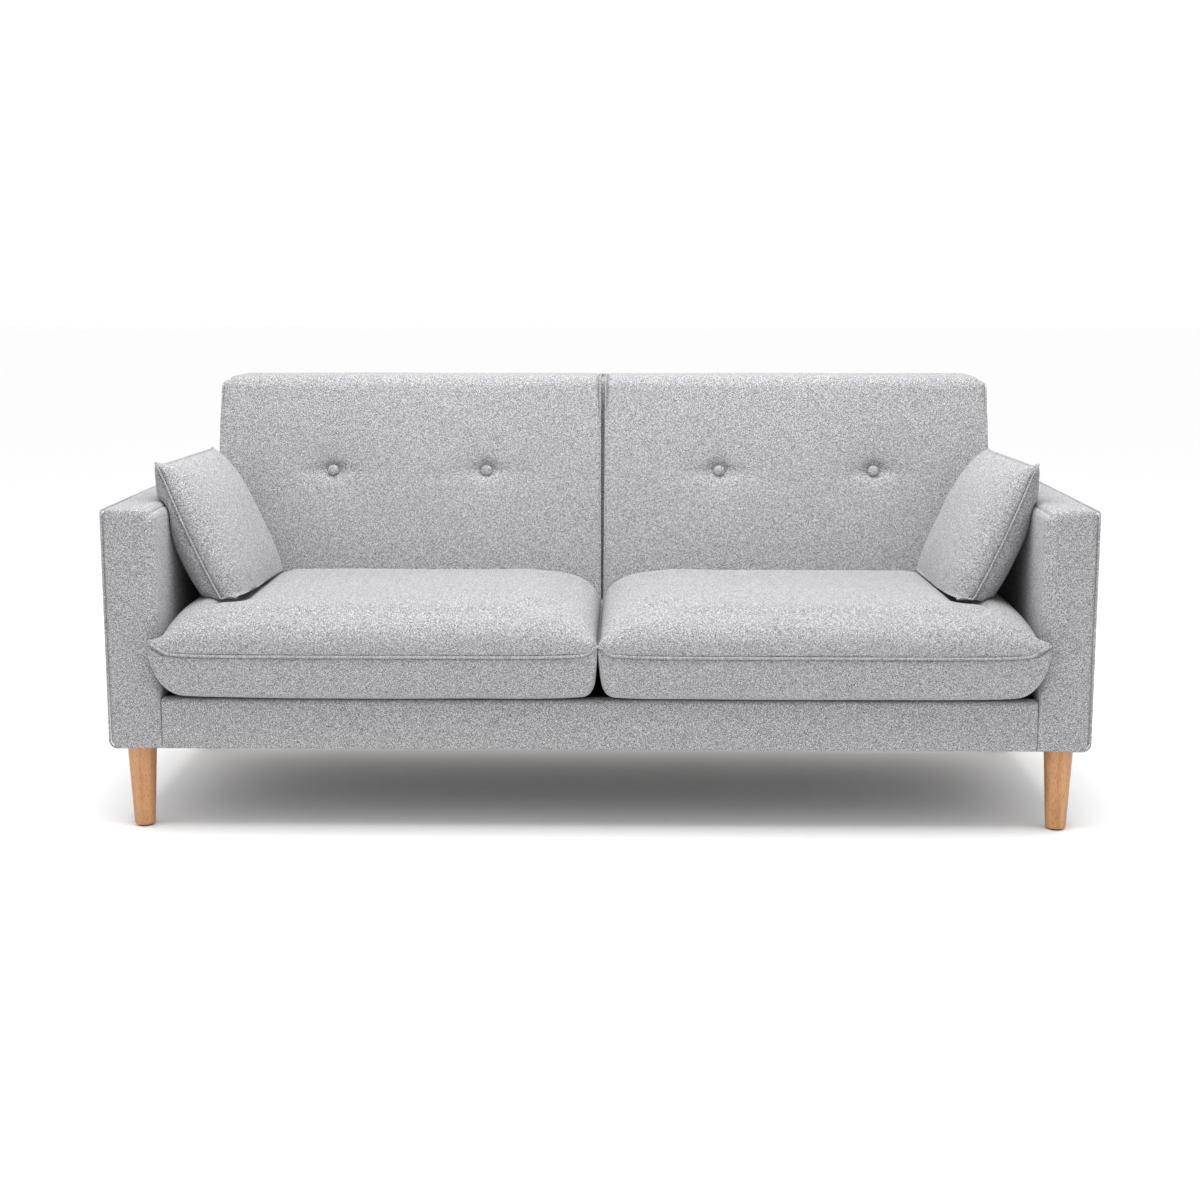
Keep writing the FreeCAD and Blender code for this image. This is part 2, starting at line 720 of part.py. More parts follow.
def cushionBody(inset):
    """The right seat cushion: its side section and its crowned front section, pushed through each other."""
    side_section = roundedWire(
        [
            (front_limit, cushion_floor, cushion_bottom_front_radius),
            (frontY(cushion_floor) - cushion_back_gap, cushion_floor, cushion_rear_foot_radius),
            (frontY(cushion_rear_top) - cushion_back_gap, cushion_rear_top, cushion_rear_radius),
            (front_limit, cushion_front_top, cushion_top_front_radius),
        ],
        onSide(cushion_x0 - cushion_side_gap),
    )
    middle = (cushion_x0 + cushion_x1) / 2
    side_top = cushion_rear_top - cushion_crown
    front_section = roundedWire(
        [
            (cushion_x0, cushion_floor, cushion_side_radius),
            (cushion_x1, cushion_floor, cushion_side_radius),
            (cushion_x1, side_top, cushion_side_radius),
            ((cushion_x1 + middle) / 2, cushion_rear_top, cushion_crown_radius),
            ((cushion_x0 + middle) / 2, cushion_rear_top, cushion_crown_radius),
            (cushion_x0, side_top, cushion_side_radius),
        ],
        onFront(front_limit - cushion_overhang),
    )
    lengthwise = prism(side_section, inset, alongX * half_width)
    return lengthwise.common(prism(front_section, inset, alongY * 2 * overall_depth))


def zipRoom():
    """The window in the rear boxing that the zip fills."""
    middle = (cushion_x0 + cushion_x1) / 2
    return box(
        middle - zip_length / 2, middle + zip_length / 2, 0, overall_depth,
        deck_height + zip_rise - zip_width / 2, deck_height + zip_rise + zip_width / 2,
    )


for side in sides:
    cushion_shell = cushionBody(0).cut(cushionBody(cover_thickness))
    parts["seat_cushion_cover_" + side] = mirrored(cushion_shell.cut(zipRoom()), side)
    parts["seat_cushion_zip_" + side] = mirrored(cushion_shell.common(zipRoom()), side)
    parts["seat_cushion_core_" + side] = mirrored(cushionBody(skin), side)


# ---- throw pillows ----
def lens(width, length, inset):
    """A long body of lens-shaped section, width across and pillow_thickness through, lying along Y."""
    half = width / 2 - inset
    bulge = pillow_thickness / 2 - inset
    lip = pillow_edge / 2 - inset / 2
    points = [
        FreeCAD.Vector(lip, 0, -half), FreeCAD.Vector(bulge, 0, 0), FreeCAD.Vector(lip, 0, half),
        FreeCAD.Vector(-lip, 0, half), FreeCAD.Vector(-bulge, 0, 0), FreeCAD.Vector(-lip, 0, -half),
    ]
    edges = [
        Part.Arc(points[0], points[1], points[2]).toShape(),
        Part.makeLine(points[2], points[3]),
        Part.Arc(points[3], points[4], points[5]).toShape(),
        Part.makeLine(points[5], points[0]),
    ]
    face = Part.Face(Part.Wire(edges)).translated(alongY * (-length / 2))
    return face.extrude(alongY * length)


def pillowBody(inset):
    """The right throw pillow: two crossed lenses, leaned on the arm and pressed clear of what it touches."""
    upright = lens(pillow_short, 2 * pillow_long, inset)
    across = lens(pillow_long, 2 * pillow_long, inset).rotated(FreeCAD.Vector(0, 0, 0), alongX, 90)
    body = upright.common(across)
    body = body.rotated(FreeCAD.Vector(0, 0, 0), alongY, pillow_lean)
    body = body.rotated(FreeCAD.Vector(0, 0, 0), alongZ, pillow_turn)
    body = body.translated(FreeCAD.Vector(half_width - pillow_side_inset, pillow_y, cushion_rear_top + pillow_rise))
    clear = -(pillow_gap + inset)
    return body.cut(armBody(clear)).cut(cushionBody(clear)).cut(backSpace(pillow_gap + inset))


def backSpace(clear):
    """All that lies behind the pads' front face, brought forward by clear."""
    outline = [
        FreeCAD.Vector(0, frontY(0) - clear * slant, 0),
        FreeCAD.Vector(0, frontY(2 * overall_height) - clear * slant, 2 * overall_height),
        FreeCAD.Vector(0, overall_depth, 2 * overall_height),
        FreeCAD.Vector(0, overall_depth, 0),
    ]
    return Part.Face(Part.makePolygon(outline + [outline[0]])).extrude(alongX * overall_width)


for side in sides:
    parts["pillow_cover_" + side] = mirrored(pillowBody(0).cut(pillowBody(cover_thickness)), side)
    parts["pillow_filling_" + side] = mirrored(pillowBody(skin), side)

# ---- one file for each piece ----
os.makedirs("parts", exist_ok=True)
for name, shape in parts.items():
    shape.exportStep("parts/" + name + ".step")
    print(name, len(shape.Solids), round(shape.Volume))
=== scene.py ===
import json
import math
import bmesh
import bpy
import numpy as np
from mathutils import Matrix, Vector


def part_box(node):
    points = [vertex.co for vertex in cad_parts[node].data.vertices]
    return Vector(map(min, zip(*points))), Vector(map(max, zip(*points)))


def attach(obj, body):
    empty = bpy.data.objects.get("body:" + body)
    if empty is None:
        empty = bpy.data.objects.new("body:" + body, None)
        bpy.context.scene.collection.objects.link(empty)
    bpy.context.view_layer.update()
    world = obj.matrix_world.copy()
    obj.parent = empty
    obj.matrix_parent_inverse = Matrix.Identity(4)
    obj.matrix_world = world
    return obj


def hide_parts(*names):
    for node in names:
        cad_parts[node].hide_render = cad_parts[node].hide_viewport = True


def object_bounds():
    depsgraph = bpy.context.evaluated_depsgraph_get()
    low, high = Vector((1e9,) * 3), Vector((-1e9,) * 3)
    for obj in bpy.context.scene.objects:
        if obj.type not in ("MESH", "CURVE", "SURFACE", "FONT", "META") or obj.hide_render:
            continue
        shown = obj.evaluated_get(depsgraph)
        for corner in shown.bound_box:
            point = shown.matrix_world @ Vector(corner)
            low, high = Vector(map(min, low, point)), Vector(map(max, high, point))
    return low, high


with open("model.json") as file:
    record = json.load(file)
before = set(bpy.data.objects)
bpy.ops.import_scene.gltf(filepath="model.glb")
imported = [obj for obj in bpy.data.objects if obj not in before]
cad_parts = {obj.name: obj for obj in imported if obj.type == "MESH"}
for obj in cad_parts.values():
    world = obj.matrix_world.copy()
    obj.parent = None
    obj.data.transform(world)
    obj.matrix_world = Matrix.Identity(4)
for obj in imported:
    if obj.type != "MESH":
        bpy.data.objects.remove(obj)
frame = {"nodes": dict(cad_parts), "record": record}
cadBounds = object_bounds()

mm = 0.001
scene = bpy.context.scene
sides = {"left": -1, "right": 1}

view = {"place": (0.067, -4.157, 1.1256), "pitch": 9.64, "turn": 0.96, "lens": 57.0}
cameraData = bpy.data.cameras.new("camera")
cameraData.lens = view["lens"]
cameraObject = bpy.data.objects.new("camera", cameraData)
cameraObject.location = view["place"]
cameraObject.rotation_euler = (math.radians(90 - view["pitch"]), 0, math.radians(view["turn"]))
scene.collection.objects.link(cameraObject)
scene.camera = cameraObject
scene.view_settings.view_transform = "Standard"


# sRGB hex to linear: c / 12.92 below 0.04045, else ((c + 0.055) / 1.055) ** 2.4.
def linearColour(code):
    c = np.array([int(code[i:i + 2], 16) for i in (1, 3, 5)]) / 255
    c = np.where(c <= 0.04045, c / 12.92, ((c + 0.055) / 1.055) ** 2.4)
    return (float(c[0]), float(c[1]), float(c[2]), 1.0)


# Adds a node; lower-case settings are its properties, the others its inputs.
def addNode(tree, kind, settings=None, links=None):
    node = tree.nodes.new(kind)
    for key, value in (settings or {}).items():
        if isinstance(key, str) and key[0].islower():
            setattr(node, key, value)
        else:
            node.inputs[key].default_value = value
    for key, source in (links or {}).items():
        tree.links.new(source, node.inputs[key])
    return node


def newMaterial(name):
    material = bpy.data.materials.new(name)
    material.use_nodes = True
    material.node_tree.nodes.clear()
    return material, material.node_tree


def setRamp(node, stops):
    ramp = node.color_ramp
    while len(ramp.elements) < len(stops):
        ramp.elements.new(0.5)
    for element, (position, colour) in zip(ramp.elements, stops):
        element.position = position
        element.color = colour if isinstance(colour, tuple) else linearColour(colour)


# Quads of a grid whose points run row by row.
def gridFaces(rows, columns):
    i, j = np.meshgrid(np.arange(rows - 1), np.arange(columns - 1), indexing="ij")
    first = (i * columns + j).ravel()
    return np.stack([first, first + columns, first + columns + 1, first + 1], axis=1)


# Several (points, faces) as one.
def joined(parts):
    points = np.concatenate([p for p, _ in parts])
    starts = np.cumsum([0] + [len(p) for p, _ in parts[:-1]])
    faces = np.concatenate([f + start for (_, f), start in zip(parts, starts)])
    return points, faces


# Merges points that coincide to a hundredth of a millimetre; also gives where each point went.
def welded(points, faces):
    keys = np.round(points[:, :3] / 1e-5).astype(np.int64)
    _, first, inverse = np.unique(keys, axis=0, return_index=True, return_inverse=True)
    inverse = inverse.reshape(-1)
    return points[first], inverse[faces], inverse


# A mesh object from arrays: doubles merged, faces outward, smooth, riding on its body.
def makePiece(name, points, faces, material, body, coords=None):
    mesh = bpy.data.meshes.new(name)
    mesh.from_pydata(points.tolist(), [], faces.tolist())
    work = bmesh.new()
    work.from_mesh(mesh)
    bmesh.ops.remove_doubles(work, verts=work.verts, dist=1e-5)
    bmesh.ops.dissolve_degenerate(work, edges=work.edges, dist=1e-6)
    bmesh.ops.recalc_face_normals(work, faces=work.faces)
    work.to_mesh(mesh)
    work.free()
    mesh.validate()
    mesh.polygons.foreach_set("use_smooth", np.ones(len(mesh.polygons), dtype=bool))
    clothCoords(mesh, coords)
    mesh.materials.append(material)
    piece = bpy.data.objects.new(name, mesh)
    scene.collection.objects.link(piece)
    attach(piece, body)
    return piece


# UV map in metres: each face takes the two coordinates that its normal points least along.
def clothCoords(mesh, turned=None):
    count = len(mesh.loops)
    vertex = np.empty(count, dtype=np.int32)
    mesh.loops.foreach_get("vertex_index", vertex)
    place = np.empty(len(mesh.vertices) * 3)
    mesh.vertices.foreach_get("co", place)
    normal = np.empty(len(mesh.polygons) * 3)
    mesh.polygons.foreach_get("normal", normal)
    total = np.empty(len(mesh.polygons), dtype=np.int32)
    mesh.polygons.foreach_get("loop_total", total)
    place, normal = place.reshape(-1, 3), normal.reshape(-1, 3)
    if turned is not None:
        place, normal = place @ turned, normal @ turned
    axis = np.repeat(np.abs(normal).argmax(axis=1), total)
    at = place[vertex]
    across = np.where(axis == 0, at[:, 1], at[:, 0])
    upward = np.where(axis == 2, at[:, 1], at[:, 2])
    layer = mesh.uv_layers.new(name="cloth")
    layer.data.foreach_set("uv", np.stack([across, upward], axis=1).ravel())


def smoothStep(t):
    t = np.clip(t, 0, 1)
    return t * t * (3 - 2 * t)


# Rise of a stuffed edge: (1 - (1 - d / reach) ** power) ** (1 / power), level past reach.
def swell(distance, reach, power):
    t = np.clip(distance / reach, 0, 1)
    return (1 - (1 - t) ** power) ** (1 / power)


# Places from low to high, step apart, with closer ones where edges of the given radii turn and in the
# finer stretches, each (middle, half length, step).
def gradedAxis(low, high, edges, step, finer=()):
    near = np.concatenate([r * (1 - np.tan(np.linspace(math.pi / 4, 0, 5))) for r in edges])
    margin = max(edges)
    middle = np.linspace(low + margin, high - margin, max(3, round((high - low - 2 * margin) / step) + 1))
    stretches = [np.arange(centre - half, centre + half, gap) for centre, half, gap in finer]
    places = np.unique(np.round(np.concatenate([low + near, middle, high - near] + stretches), 5))
    keep = np.concatenate([[True], np.diff(places) > 0.0006])
    places = places[keep]
    places[-1] = high
    return places


# A block with rounded edges: each point of a box's face grids goes to inner + radius * direction,
# where inner is the point drawn in by the radius on every side.
def softBlock(low, high, edges, step, radiusAt, finer=((), (), ())):
    low, high = np.array(low, dtype=float), np.array(high, dtype=float)
    axes = [gradedAxis(low[a], high[a], edges, step, finer[a]) for a in range(3)]
    parts = []
    for a in range(3):
        b, c = (a + 1) % 3, (a + 2) % 3
        for limit, toward in ((low[a], -1), (high[a], 1)):
            first, second = np.meshgrid(axes[b], axes[c], indexing="ij")
            grid = np.empty(first.shape + (3,))
            grid[..., a], grid[..., b], grid[..., c] = limit, first, second
            faces = gridFaces(*first.shape)
            parts.append((grid.reshape(-1, 3), faces if toward > 0 else faces[:, ::-1]))
    points, faces = joined(parts)
    points, faces, _ = welded(points, faces)
    radius = radiusAt(points)[:, None]
    inner = np.clip(points, low + radius, high - radius)
    away = points - inner
    direction = away / np.linalg.norm(away, axis=1, keepdims=True)
    return inner + radius * direction, direction, faces


# Bulges a block's faces: rise * (1 - u^2)(1 - v^2) along the face's axis, u and v across it from -1
# to 1.
def crowned(points, direction, low, high, rises):
    low, high = np.array(low), np.array(high)
    across = np.clip((2 * points - low - high) / (high - low), -1, 1)
    bell = 1 - across ** 2
    for (axis, toward), rise in rises.items():
        others = [a for a in range(3) if a != axis]
        facing = np.clip(direction[:, axis] * toward, 0, 1) ** 2
        points[:, axis] += toward * rise * facing * bell[:, others[0]] * bell[:, others[1]]
    return points


# Rounds corners as seen from the front: with v from the corner's centre in units of its width and
# height, v goes to v * max(|vx|, |vz|) / |v|.
def cornerRounded(points, low, high, radii):
    for (sideX, sideZ), (width, height) in radii.items():
        middleX = high[0] - width if sideX > 0 else low[0] + width
        middleZ = high[2] - height if sideZ > 0 else low[2] + height
        vx, vz = (points[:, 0] - middleX) / width, (points[:, 2] - middleZ) / height
        within = (vx * sideX > 0) & (vz * sideZ > 0)
        scale = np.where(within, np.maximum(abs(vx), abs(vz)) / np.maximum(np.hypot(vx, vz), 1e-9), 1)
        points[:, 0], points[:, 2] = middleX + vx * scale * width, middleZ + vz * scale * height
    return points


# Points along straight runs with a round arc at each corner; corners are (place, radius).
def roundedPath(corners, step, closed=False):
    places = [np.array(place, dtype=float) for place, _ in corners]
    count = len(places)
    runs = []
    for index, (_, radius) in enumerate(corners):
        here = places[index]
        if not closed and index in (0, count - 1):
            runs.append(here[None])
            continue
        before, after = places[index - 1] - here, places[(index + 1) % count] - here
        before, after = before / np.linalg.norm(before), after / np.linalg.norm(after)
        half = math.acos(np.clip(before @ after, -1, 1)) / 2
        middle = before + after
        middle = middle / np.linalg.norm(middle)
        centre = here + middle * radius / math.sin(half)
        reach = radius / math.tan(half)
        start, end = here + before * reach - centre, here + after * reach - centre
        turn = math.pi - 2 * half
        t = np.linspace(0, 1, 9)[:, None]
        runs.append(centre + (start * np.sin((1 - t) * turn) + end * np.sin(t * turn)) / math.sin(turn))
    if closed:
        runs.append(runs[0][:1])
    line = np.concatenate(runs)
    length = np.concatenate([[0], np.cumsum(np.linalg.norm(np.diff(line, axis=0), axis=1))])
    at = np.unique(np.concatenate([length, np.arange(0, length[-1], step)]))
    at = at[np.concatenate([[True], np.diff(at) > step * 0.1])]
    return np.stack([np.interp(at, length, line[:, a]) for a in range(3)], axis=1)


# A section of (across, outward) points carried along a path: path + across * s + outward * t, where
# outward is across x tangent.
def carried(path, across, section, closed=False):
    if closed:
        ring = path[:-1] if np.allclose(path[0], path[-1]) else path
        tangent = np.roll(ring, -1, axis=0) - np.roll(ring, 1, axis=0)
        path = ring
    else:
        tangent = np.gradient(path, axis=0)
    tangent = tangent / np.linalg.norm(tangent, axis=1, keepdims=True)
    across = np.broadcast_to(across, path.shape)
    across = across - (across * tangent).sum(axis=1, keepdims=True) * tangent
    across = across / np.linalg.norm(across, axis=1, keepdims=True)
    outward = np.cross(across, tangent)
    loop = np.concatenate([section, section[:1]])
    grid = path[:, None] + across[:, None] * loop[None, :, :1] + outward[:, None] * loop[None, :, 1:]
    if closed:
        grid = np.concatenate([grid, grid[:1]])
    rows, columns = grid.shape[:2]
    parts = [(grid.reshape(-1, 3), gridFaces(rows, columns))]
    if not closed:
        for end in (0, -1):
            middle = np.broadcast_to(grid[end, :-1].mean(axis=0), (columns, 3))
            cap = np.stack([grid[end], middle])
            parts.append((cap.reshape(-1, 3), gridFaces(2, columns)))
    return joined(parts)


# (width / 2 * cos a, height / 2 * sin a)
def ovalSection(width, height, count=10):
    angle = np.linspace(0, 2 * math.pi, count, endpoint=False)
    return np.stack([width / 2 * np.cos(angle), height / 2 * np.sin(angle)], axis=1)


# A slow unevenness of a hand-made cover: a sum of sines of three directions, size apart.
def drift(points, size, amount, seed):
    turns = np.random.default_rng(seed).normal(size=(5, 3))
    turns = turns / np.linalg.norm(turns, axis=1, keepdims=True) * 2 * math.pi / size
    phase = np.arange(5) * 1.7 + seed
    return amount * np.sin(points @ turns.T + phase).mean(axis=1)


cloth = {
    "yarn": 1.3,          # mm between yarns: the real ones are near 1 mm, drawn coarser so that they show
    "fleck": 2.1,         # mm, length of a light or dark stretch of yarn
    "dark": "#424245", "middle": "#89898b", "light": "#cccccf",
    "roughness": 0.92, "bump": 0.4,
}


# Woven melange upholstery: each yarn is spun from light and dark fibre and so has its own flecks
# along it; warp and weft cross over and under; matt, with a little fuzz that lights the edges.
def heatherCloth():
    material, tree = newMaterial("heather_weave")
    yarn, fleck = cloth["yarn"] * mm, cloth["fleck"] * mm
    coords = addNode(tree, "ShaderNodeUVMap", {"uv_map": "cloth"}).outputs["UV"]
    wander = addNode(tree, "ShaderNodeTexNoise", {"Scale": 45.0, "Detail": 1.0}, {"Vector": coords})
    bent = addNode(
        tree, "ShaderNodeVectorMath", {"operation": "MULTIPLY_ADD", 1: (1.6 * yarn,) * 3},
        {0: wander.outputs["Color"], 2: coords},
    ).outputs[0]
    flecks = []
    warp = ((yarn, 1e-5, 1), (3.7 / yarn, 1 / fleck, 1))   # one value a yarn across, flecks along it
    weft = ((1e-5, yarn, 1), (1 / fleck, 3.7 / yarn, 1))
    for snap, scale in (warp, weft):
        oneYarn = addNode(tree, "ShaderNodeVectorMath", {"operation": "SNAP", 1: snap}, {0: bent})
        stretched = addNode(tree, "ShaderNodeMapping", {"Scale": scale}, {"Vector": oneYarn.outputs[0]})
        noise = addNode(
            tree, "ShaderNodeTexNoise", {"Scale": 1.0, "Detail": 2.0, "Roughness": 0.65},
            {"Vector": stretched.outputs[0]},
        )
        flecks.append(noise.outputs[0])
    over = addNode(
        tree, "ShaderNodeTexChecker", {"Scale": 1 / yarn, "Color1": (1, 1, 1, 1), "Color2": (0, 0, 0, 1)},
        {"Vector": bent},
    ).outputs["Fac"]
    mixed = addNode(tree, "ShaderNodeMix", {"data_type": "FLOAT"}, {0: over, 2: flecks[0], 3: flecks[1]})
    blotch = addNode(tree, "ShaderNodeTexNoise", {"Scale": 140.0, "Detail": 3.0}, {"Vector": coords})
    tone = addNode(
        tree, "ShaderNodeMath", {"operation": "MULTIPLY_ADD", 1: 0.025},
        {0: blotch.outputs[0], 2: mixed.outputs[0]},
    )
    ramp = addNode(tree, "ShaderNodeValToRGB", None, {"Fac": tone.outputs[0]})
    setRamp(ramp, [(0.37, cloth["dark"]), (0.51, cloth["middle"]), (0.65, cloth["light"])])
    # relief: each yarn is a rounded ridge, and the two ways swap cell by cell
    ridges = []
    for direction in ("X", "Y"):
        wave = addNode(
            tree, "ShaderNodeTexWave", {"bands_direction": direction, "Scale": 0.314 / yarn},
            {"Vector": bent},
        )
        ridges.append(wave.outputs["Fac"])
    relief = addNode(tree, "ShaderNodeMix", {"data_type": "FLOAT"}, {0: over, 2: ridges[0], 3: ridges[1]})
    fuzz = addNode(
        tree, "ShaderNodeTexNoise", {"Scale": 1 / (1.3 * yarn), "Detail": 3.0}, {"Vector": coords}
    )
    height = addNode(
        tree, "ShaderNodeMath", {"operation": "MULTIPLY_ADD", 1: 0.8},
        {0: fuzz.outputs[0], 2: relief.outputs[0]},
    )
    bump = addNode(
        tree, "ShaderNodeBump", {"Strength": cloth["bump"], "Distance": 0.5 * mm},
        {"Height": height.outputs[0]},
    )
    shader = addNode(
        tree, "ShaderNodeBsdfPrincipled",
        {
            "Roughness": cloth["roughness"], "Specular IOR Level": 0.2,
            "Sheen Weight": 0.15, "Sheen Roughness": 0.5,
        },
        {"Base Color": ramp.outputs[0], "Normal": bump.outputs[0]},
    )
    addNode(tree, "ShaderNodeOutputMaterial", None, {"Surface": shader.outputs[0]})
    return material


beech = {"pale": "#c0905f", "warm": "#b27f51", "dark": "#9e6a3e", "fleck": "#744a2c", "roughness": 0.45}


# Steamed beech under a clear satin coat: straight grain up the leg, faint growth bands and short dark
# rays.
def oiledBeech():
    material, tree = newMaterial("oiled_beech")
    coords = addNode(tree, "ShaderNodeTexCoord").outputs["Object"]
    long = addNode(tree, "ShaderNodeMapping", {"Scale": (1.0, 1.0, 0.07)}, {"Vector": coords})
    grain = addNode(
        tree, "ShaderNodeTexNoise", {"Scale": 130.0, "Detail": 5.0, "Roughness": 0.6, "Distortion": 0.4},
        {"Vector": long.outputs[0]},
    )
    bands = addNode(
        tree, "ShaderNodeTexWave", {"Scale": 14.0, "Distortion": 3.0, "Detail": 2.0, "Detail Scale": 1.0},
        {"Vector": long.outputs[0]},
    )
    blend = addNode(
        tree, "ShaderNodeMix", {"data_type": "FLOAT", 0: 0.22}, {2: grain.outputs[0], 3: bands.outputs["Fac"]}
    )
    ramp = addNode(tree, "ShaderNodeValToRGB", None, {"Fac": blend.outputs[0]})
    setRamp(ramp, [(0.22, beech["dark"]), (0.45, beech["warm"]), (0.72, beech["pale"])])
    short = addNode(tree, "ShaderNodeMapping", {"Scale": (1.0, 1.0, 0.22)}, {"Vector": coords})
    rays = addNode(
        tree, "ShaderNodeTexNoise", {"Scale": 620.0, "Detail": 1.0}, {"Vector": short.outputs[0]}
    )
    rayMask = addNode(
        tree, "ShaderNodeMapRange", {"From Min": 0.58, "From Max": 0.7, "To Max": 0.65},
        {"Value": rays.outputs[0]},
    )
    colour = addNode(
        tree, "ShaderNodeMix", {"data_type": "RGBA", 7: linearColour(beech["fleck"])},
        {0: rayMask.outputs[0], 6: ramp.outputs[0]},
    )
    bump = addNode(
        tree, "ShaderNodeBump", {"Strength": 0.12, "Distance": 0.3 * mm}, {"Height": grain.outputs[0]}
    )
    shader = addNode(
        tree, "ShaderNodeBsdfPrincipled",
        {"Roughness": beech["roughness"], "Coat Weight": 0.15, "Coat Roughness": 0.3},
        {"Base Color": colour.outputs[2], "Normal": bump.outputs[0]},
    )
    addNode(tree, "ShaderNodeOutputMaterial", None, {"Surface": shader.outputs[0]})
    return material


# A plain finish with the fine unevenness that the making leaves: noise between two close colours.
def mottled(name, light, dark, scale, roughness, metallic=0.0, stretch=(1, 1, 1), bump=0.2):
    material, tree = newMaterial(name)
    coords = addNode(tree, "ShaderNodeTexCoord").outputs["Object"]
    stretched = addNode(tree, "ShaderNodeMapping", {"Scale": stretch}, {"Vector": coords})
    noise = addNode(
        tree, "ShaderNodeTexNoise", {"Scale": scale, "Detail": 4.0}, {"Vector": stretched.outputs[0]}
    )
    ramp = addNode(tree, "ShaderNodeValToRGB", None, {"Fac": noise.outputs[0]})
    setRamp(ramp, [(0.3, dark), (0.7, light)])
    relief = addNode(
        tree, "ShaderNodeBump", {"Strength": bump, "Distance": 0.4 * mm}, {"Height": noise.outputs[0]}
    )
    shader = addNode(
        tree, "ShaderNodeBsdfPrincipled", {"Roughness": roughness, "Metallic": metallic},
        {"Base Color": ramp.outputs[0], "Normal": relief.outputs[0]},
    )
    addNode(tree, "ShaderNodeOutputMaterial", None, {"Surface": shader.outputs[0]})
    return material


heather = heatherCloth()
finishes = {
    "upholstery": heather,
    "legs": oiledBeech(),
    "frame_wood": mottled("sawn_pine", "#d9b98a", "#b98f5c", 60.0, 0.7, stretch=(0.1, 1, 1)),
    "board": mottled("hardboard", "#7d5f43", "#634931", 300.0, 0.75),
    "foam": mottled("cut_foam", "#e8e2cf", "#d5cdb5", 500.0, 0.95, bump=0.5),
    "filling": mottled("hollow_fibre", "#f2f1ec", "#dedcd5", 120.0, 0.95, bump=0.6),
    "lining": mottled("black_nonwoven", "#26262a", "#161618", 700.0, 0.9, bump=0.4),
    "webbing": mottled("elastic_webbing", "#6a655d", "#4c4842", 400.0, 0.9, stretch=(0.1, 1, 1)),
    "zip": mottled("nylon_coil", "#98989c", "#7d7d82", 500.0, 0.55),
    "fittings": mottled("zinc_plated_steel", "#c9cacc", "#a8aaad", 200.0, 0.35, 1.0, bump=0.05),
    "glides": mottled("felt_and_nylon", "#4a4038", "#332b25", 600.0, 0.85, bump=0.5),
}
for row in frame["record"]["subparts"]:
    node = frame["nodes"][row["node"]]
    node.data.materials.clear()
    node.data.materials.append(finishes[row["material_slot"]])
print("materials done")

back = {
    "rake": 15.0, "frontAt": 141.0, "frontHeight": 467.0, "outerRake": 4.3,
    "gap": (5.0, 10.0), "depth": 170.0, "step": 11.0, "crown": 14.0,
    "frontEdge": 8.0, "topEdge": 24.0, "rearEdge": 5.0,
    "outerCorner": (42.0, 20.0), "innerCorner": (14.0, 11.0), "weltWidth": 4.0,
    "buttonSpacing": 354.0, "buttonRadius": 12.8, "buttonOut": 5.5,
    "pocketDepth": 13.5, "pocketWidth": 19.0, "dimpleDepth": 11.0, "dimpleWidth": 72.0,
    "creaseDepth": 4.6, "creaseLength": 72.0, "creaseWidth": 15.0,
}


# Front plane of the back: y0 + (z - z0) tan(rake).
def frontY(z):
    return back["frontAt"] * mm + (z - back["frontHeight"] * mm) * math.tan(math.radians(back["rake"]))


def rearY(z):
    top = cadBounds[1][2]
    return 0.425 - (top - z) * math.tan(math.radians(back["outerRake"]))


arm = {
    "step": 14.0, "edges": (1.5, 7.0, 26.0), "rearRake": 4.3,
    # edge radii, each (below, at the top): inside front, outside front, inside rear; then two single
    # ones
    "inner": (26, 19), "outer": (6, 8), "innerRear": (8, 10), "outerRear": 5, "atBorder": 1.5,
    "corners": {(1, -1): 17.0, (1, 1): 14.0, (-1, 1): 26.0},
    "weltWidth": 4.4, "weltTail": 48.0, "weltGroove": 4.5, "weltReach": 7.0,
    "rises": {(1, -1): 2.5, (2, 1): 3.0, (0, -1): 1.5, (0, 1): 2.0},
}


# Edge radius over the arm: soft on the inside, crisp where the outer panel is sewn on, and tight
# below the deck where the front border meets it.
def armRadius(points, low, high, deckTop):
    outward = smoothStep((points[:, 0] - low[0]) / (high[0] - low[0]))
    backward = smoothStep((points[:, 1] - low[1]) / (120 * mm))
    upper = smoothStep((points[:, 2] - high[2] + 90 * mm) / (80 * mm))
    belowDeck = 1 - smoothStep((points[:, 2] - deckTop + 6 * mm) / (34 * mm))
    inside, outside, insideRear = (
        arm[key][0] * (1 - upper) + arm[key][1] * upper for key in ("inner", "outer", "innerRear")
    )
    inside = inside * (1 - belowDeck) + arm["atBorder"] * belowDeck
    front = inside * (1 - outward) + outside * outward
    rear = insideRear * (1 - outward) + arm["outerRear"] * outward
    return (front * (1 - backward) + rear * backward) * mm


